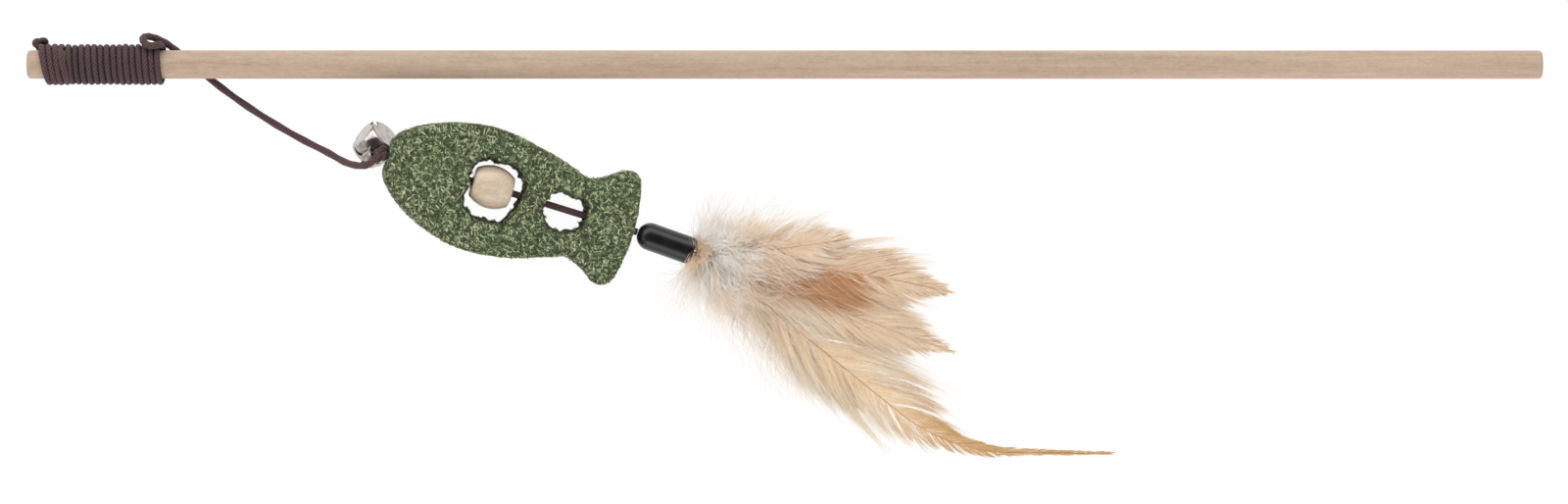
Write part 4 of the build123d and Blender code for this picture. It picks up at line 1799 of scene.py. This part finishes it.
@dataclass
class Down:
    """The fluff on the upper or lower side of the feathers' base.

    Lengths are in millimetres and angles in degrees. A blur is the measure of a normal
    spread, a pair holds the measures of another spread, and wisps are the longest hairs.
    """

    name: str
    node: str
    placing: Placing
    rise: float
    height: float
    seed: int
    count: int = 4300
    extent: float = 22.0
    tufts: int = 230
    wisps: int = 190
    knots: int = 8
    root_spread: tuple = (1.0, 1.6)
    root_blur: float = 0.8
    least_root: float = 0.5
    aside_start: float = 2.4
    aside_growth: float = 0.16
    aside_blur: float = 0.7
    lie_start: float = 98
    lie_fall: float = 1.9
    lie_blur: float = 20
    loose_share: float = 0.3
    loose_lie: float = 40
    hair_lie: float = 12
    lengths: tuple = (14, 0.74)
    length_shares: tuple = (0.6, 1.1)
    ruff_root: float = 1.8
    ruff_aside: float = 0.8
    ruff_lengths: tuple = (3, 6)
    wisp_lengths: tuple = (15, 25)
    wisp_width: float = 0.09
    tuft_curl: float = 0.7
    back_curl: float = 0.55
    hair_curl: float = 0.35
    wobble: float = 0.3
    wobble_waves: tuple = (4, 10)
    lift_power: float = 0.8
    lift_blur: float = 0.1
    lift_run: float = 1.9
    lift_start: float = 0.5
    widths: tuple = (0.06, 0.15)
    taper: tuple = ((0, 0.2, 1), (0.8, 1, 0.15))
    flat: float = 0.6
    tints: tuple = (tone(255, 251, 246), tone(253, 240, 224), tone(243, 216, 186))
    warm_from: float = 5
    warm_run: float = 18
    warm_blur: float = 0.25

    def build(self) -> list:
        """Grow curling hairs in tufts, outwards from the quills.

        Returns:
            The pieces.
        """
        chance = np.random.default_rng(self.seed)
        count, tufts = self.count, self.tufts
        steps = np.linspace(0, 1, self.knots)[None, :]
        stray = np.arange(count) < self.wisps
        tuft = chance.integers(0, tufts, count)
        root = chance.beta(*self.root_spread, tufts) * self.extent
        aside = chance.normal(0, 1, tufts) * (self.aside_start + self.aside_growth * root)
        along = np.maximum(root[tuft] + chance.normal(0, self.root_blur, count), self.least_root)
        across = aside[tuft] + chance.normal(0, self.aside_blur, count)
        lie = np.sign(aside) * (self.lie_start - self.lie_fall * root)
        lie += chance.normal(0, self.lie_blur, tufts)
        loose = chance.uniform(0, 1, tufts) < self.loose_share
        lie = np.where(loose, chance.normal(0, self.loose_lie, tufts), lie)
        turn = lie[tuft] + chance.normal(0, self.hair_lie, count)
        length = chance.gamma(*self.lengths, tufts)[tuft] * chance.uniform(*self.length_shares, count)
        ruff = root < self.ruff_root
        length = np.where(ruff[tuft], chance.uniform(*self.ruff_lengths, count), length)
        length = np.where(stray, chance.uniform(*self.wisp_lengths, count), length)
        bend = chance.normal(0, self.tuft_curl, tufts) - np.sign(aside) * self.back_curl
        curl = bend[tuft][:, None] + chance.normal(0, self.hair_curl, (count, 1))
        waves = chance.uniform(*self.wobble_waves, (count, 1))
        wobble = self.wobble * np.sin(steps * waves + chance.uniform(*PHASES, (count, 1)))
        angle = np.radians(turn)[:, None] + curl * steps + wobble
        stride = length[:, None] / (self.knots - 1)
        x = along[:, None] + np.cumsum(np.cos(angle) * stride, axis=1)
        y = across[:, None] + np.cumsum(np.sin(angle) * stride, axis=1)
        lift = chance.uniform(0, 1, tufts)[tuft] ** self.lift_power + chance.normal(0, self.lift_blur, count)
        lift = np.clip(lift, 0, 1)[:, None] * self.height
        climb = np.sin(np.clip(steps * self.lift_run, 0, math.pi / 2)) ** self.lift_power
        z = self.rise * (self.lift_start + lift * climb)
        centres = self.placing.points(np.stack([x, y, np.broadcast_to(z, x.shape)], axis=-1))
        widths = np.where(stray, self.wisp_width, chance.uniform(*self.widths, count))[:, None]
        widths = widths * np.interp(steps, *self.taper) * MM
        warm = (root - self.warm_from) / self.warm_run + chance.normal(0, self.warm_blur, tufts)
        warm = np.where(ruff & (aside < self.ruff_aside), 1.0, np.clip(warm, 0, 1))[tuft]
        tints = np.repeat(between(warm[:, None, None], self.tints), self.knots, axis=1)
        fluff = strands(self.name, centres, widths, self.flat, tints)
        FLUFF.dress(fluff)
        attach(fluff, "cap")
        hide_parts(self.node)
        return [fluff]


@dataclass
class Plume:
    """The five feathers and their down."""

    mouth: Placing
    length: float = 142.0
    reach: float = 20.0
    first_seed: int = 40
    level_step: float = 1.05
    tan: tuple = (tone(242, 212, 178), tone(248, 226, 198), tone(252, 239, 220))
    brown: tuple = (tone(199, 141, 94), tone(207, 151, 104), tone(223, 177, 132))
    fawn: tuple = (tone(215, 162, 114), tone(219, 168, 121), tone(229, 184, 140))
    pale: tuple = (tone(248, 230, 206), tone(252, 240, 222), tone(253, 247, 237))
    gold: tuple = (tone(241, 209, 167), tone(248, 227, 196), tone(252, 240, 220))
    sand: tuple = (tone(238, 203, 168), tone(245, 219, 190), tone(251, 236, 215))
    blunt_shares: tuple = ((0.0, 0.10), (0.15, 0.62), (0.40, 1.00), (0.72, 1.00), (0.88, 0.66), (1.0, 0.05))
    long_shares: tuple = (
        (0.0, 0.10),
        (0.15, 0.58),
        (0.37, 1.00),
        (0.52, 0.86),
        (0.60, 0.56),
        (0.68, 0.22),
        (0.80, 0.09),
        (1.0, 0.04),
    )
    long_right_shares: tuple = (
        (0.0, 0.10),
        (0.15, 0.62),
        (0.37, 1.05),
        (0.48, 1.03),
        (0.555, 0.58),
        (0.64, 0.24),
        (0.80, 0.09),
        (1.0, 0.04),
    )
    rows: dict = field(
        default_factory=lambda: {
            "lower_feather": (-28.0, 8.0, 0.225, 0.190, 0.050, 0.65, 0.55),
            "long_feather": (-20.0, 38.5, 0.542, 0.268, 0.225, 1.00, 0.65),
            "middle_feather": (-2.0, 2.0, 0.270, 0.260, 0.070, 0.60, 0.50),
            "upper_feather": (13.0, -6.0, 0.239, 0.250, 0.060, 0.55, 0.55),
            "short_feather": (26.0, 3.0, 0.150, 0.110, 0.040, 0.45, 0.50),
        }
    )

    def looks(self) -> dict:
        """How the feathers differ in tint and in the lie of their barbs."""
        return {
            "lower_feather": {
                "tints": self.pale,
                "root_angle": 58,
                "tip_angle": 26,
                "spread": 7,
                "soft": 0.9,
                "layers": (Layer(1.1), Layer(1.9, 0.2, 0.3, 0.11)),
            },
            "long_feather": {
                "tints": self.gold,
                "shares": self.long_shares,
                "right_shares": self.long_right_shares,
                "root_angle": 46,
                "soft": 0.16,
                "tail_tint": tone(226, 186, 132),
                "tail_from": 80.0,
                "tail_fade": 18.0,
                "layers": (
                    Layer(sides=(Side.LEFT,)),
                    Layer(1.08, spacing=0.12, width=0.14, spread=3.0, sides=(Side.RIGHT,)),
                    Layer(1.4, 0.2, 0.35, 0.07, 0.05, 0.45, spread=4.0),
                ),
            },
            "middle_feather": {
                "tints": self.tan,
                "shares": self.blunt_shares,
                "clump": 1.0,
                "pull": 0.95,
                "spread": 3.0,
                "root_angle": 40,
                "soft": 0.2,
                "tail_tint": tone(246, 222, 191),
                "tail_from": 50.0,
                "layers": (
                    Layer(sides=(Side.RIGHT,)),
                    Layer(sides=(Side.LEFT,), tints=self.fawn),
                    Layer(1.4, 0.5, 0.2, 0.13, tints=self.pale, spread=2.0),
                    Layer(1.25, -0.2, 0.6, 0.1, 0.4, 1.0, spread=4.0),
                ),
            },
            "upper_feather": {
                "tints": self.brown,
                "shares": self.blunt_shares,
                "clump": 1.0,
                "pull": 0.95,
                "spread": 3.0,
                "root_angle": 42,
                "soft": 0.12,
                "tail_tint": tone(246, 221, 190),
                "tail_from": 56.0,
                "layers": (
                    Layer(0.95, tints=self.sand, sides=(Side.LEFT,)),
                    Layer(1.4, sides=(Side.RIGHT,)),
                    Layer(1.4, 0.5, 0.2, 0.13, tints=self.tan, spread=2.0),
                    Layer(1.35, -0.2, 0.6, 0.1, 0.35, 1.0, self.sand, 4.0),
                ),
            },
            "short_feather": {
                "tints": self.tan,
                "root_angle": 52,
                "tip_angle": 26,
                "spread": 7,
                "soft": 0.3,
                "layers": (Layer(1.3), Layer(2.0, 0.2, 0.3, 0.11)),
            },
        }

    def build(self) -> list:
        """Model and dress the feathers and the down.

        Returns:
            The pieces.
        """
        pieces = []
        for number, (name, row) in enumerate(self.rows.items()):
            fan, bow, straight, bowed, tip, left, right = row
            feather = Feather(
                name=name,
                placing=self.mouth,
                fan=fan,
                bow=bow,
                straight=straight * self.length,
                bowed=bowed * self.length,
                tip=tip * self.length,
                reaches={Side.LEFT: left * self.reach, Side.RIGHT: right * self.reach},
                level=(number - (len(self.rows) - 1) / 2) * self.level_step,
                seed=self.first_seed + number,
                **self.looks()[name],
            )
            pieces += feather.build()
        pieces += Down("upper_fluff", "upper_down", self.mouth, rise=1, height=8.5, seed=61).build()
        below = {"rise": -1, "height": 3.0, "seed": 62, "count": 2200}
        pieces += Down("lower_fluff", "lower_down", self.mouth, **below).build()
        return pieces


@dataclass
class Studio:
    """The white table, the light and the camera straight above.

    Sizes are in millimetres, the lamps' places and sizes in metres.
    """

    middle: tuple = (-0.388, 1.241)
    width: float = 496.45
    height: float = 2200.0
    focus: float = 8.0
    sensor: float = 36.0
    table_size: float = 6000.0
    table_drop: float = 0.05
    paper: float = 0.86
    glow: float = 1.04
    clear_share: float = 0.93
    tent_strength: float = 1.32
    end_dim: float = 0.5
    tent_stops: tuple = ((0.0, 0.80), (0.30, 1.00), (0.62, 0.92), (0.78, 0.48), (1.0, 0.36))
    mirror_stops: tuple = (
        (0.0, 0.60),
        (0.25, 0.64),
        (0.46, 0.90),
        (0.60, 0.74),
        (0.82, 0.16),
        (1.0, 0.05),
    )
    softboxes: tuple = (((-0.35, 1.05, 0.75), 9.0), ((0.25, -1.05, 0.75), 6.0))
    softbox_size: tuple = (2.2, 1.0)

    def camera(self) -> None:
        """Hang the camera above the picture's middle, with +Y upwards in it."""
        lens = bpy.data.cameras.new("camera")
        lens.sensor_width = self.sensor
        lens.lens = self.sensor * (self.height - self.focus) / self.width
        lens.clip_end = 20
        holder = bpy.data.objects.new("camera", lens)
        holder.location = (self.middle[0] * MM, self.middle[1] * MM, self.height * MM)
        bpy.context.scene.collection.objects.link(holder)
        bpy.context.scene.camera = holder

    def table(self) -> None:
        """Lay a wide white table with faint shadows.

        The camera sees through most of it, so it doesn't hide a toy that hangs below it.
        """
        bpy.ops.mesh.primitive_plane_add(size=self.table_size * MM, location=(0, 0, -self.table_drop * MM))
        table = bpy.context.object
        table.name = "white_table"
        material = bpy.data.materials.new("white table")
        material.use_nodes = True
        graph = Graph(material.node_tree)
        camera = graph.node("ShaderNodeLightPath", {}, {}, "Is Camera Ray")
        mirrored = camera.part("Is Glossy Ray").larger(camera.part("Is Transmission Ray"))
        paper = graph.node("ShaderNodeBsdfDiffuse", {}, {"Color": (*(self.paper,) * 3, 1)})
        glow = graph.node("ShaderNodeEmission", {}, {"Color": (*WHITE, 1), "Strength": self.glow})
        clear = graph.node("ShaderNodeBsdfTransparent", {}, {"Color": (*WHITE, 1)})
        lit = graph.node("ShaderNodeMixShader", {}, {0: mirrored * self.clear_share, 1: paper, 2: glow})
        both = graph.node("ShaderNodeMixShader", {}, {0: camera * self.clear_share, 1: lit, 2: clear})
        graph.node("ShaderNodeOutputMaterial", {}, {"Surface": both})
        table.data.materials.append(material)

    def light(self) -> None:
        """Light the table from a tent that is brighter at its sides."""
        world = bpy.data.worlds.new("tent")
        bpy.context.scene.world = world
        world.use_nodes = True
        graph = Graph(world.node_tree)
        way = graph.node("ShaderNodeTexCoord", {}, {}, "Generated")
        split = graph.node("ShaderNodeSeparateXYZ", {}, {"Vector": way}, "X")
        tent = graph.greys(split.part("Z"), self.tent_stops)
        strength = tent * (1 - split * split * self.end_dim) * self.tent_strength
        mirrored = graph.greys(split.part("Z"), self.mirror_stops)
        camera = graph.node("ShaderNodeLightPath", {}, {}, "Is Camera Ray")
        glossy = camera.part("Is Glossy Ray")
        strength = glossy * mirrored + (1 - glossy) * strength
        strength = camera * self.glow + (1 - camera) * strength
        sky = graph.node("ShaderNodeBackground", {}, {"Color": (*WHITE, 1), "Strength": strength})
        graph.node("ShaderNodeOutputWorld", {}, {"Surface": sky})
        for place, power in self.softboxes:
            lamp = bpy.data.lights.new("softbox", "AREA")
            lamp.shape = "RECTANGLE"
            lamp.size, lamp.size_y = self.softbox_size
            lamp.energy = power
            holder = bpy.data.objects.new("softbox", lamp)
            holder.location = place
            holder.rotation_euler = (-Vector(place)).to_track_quat("-Z", "Y").to_euler()
            bpy.context.scene.collection.objects.link(holder)

    def build(self) -> None:
        """Set up the camera, the table and the light."""
        bpy.context.scene.view_settings.view_transform = "Standard"
        self.camera()
        self.table()
        self.light()


def main() -> None:
    """Build every sub-assembly around the frame, in order."""
    logging.basicConfig(level=logging.INFO)
    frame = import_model()
    joints = {joint["name"]: joint for joint in frame["joints"]}
    place = {name: Vector(joint["pos_m"]) for name, joint in joints.items() if "pos_m" in joint}
    way = {name: Vector(joint["axis"]).normalized() for name, joint in joints.items()}
    Studio().build()
    rod = Rod(Placing.along(place["cord_unwind"], way["cord_unwind"]))
    cord = Cord(rod.placing, place["cord_swing"], place["bell_swing"], place["toy_swing"])
    bell = Bell(place["bell_swing"], way["bell_swing"], way["pea_rattle"])
    fish = Fish(Placing.along(place["fish_roll"], way["fish_roll"]), place["bead_spin"])
    cap = Cap(place["cap_swing"])
    pieces = [rod.build(), *cord.build(), *bell.build(), *fish.build(place["cap_swing"]), *cap.build()]
    pieces += Plume(cap.mouth()).build()
    for node, finish in (("bell_pea", PEA_STEEL), ("tail_knot", KNOT_CORD), ("glue_plug", GLUE)):
        finish.dress(frame["nodes"][node])
    for piece in pieces:
        log.info("%s: %d faces", piece.name, len(piece.data.polygons))


if __name__ == "__main__":
    main()
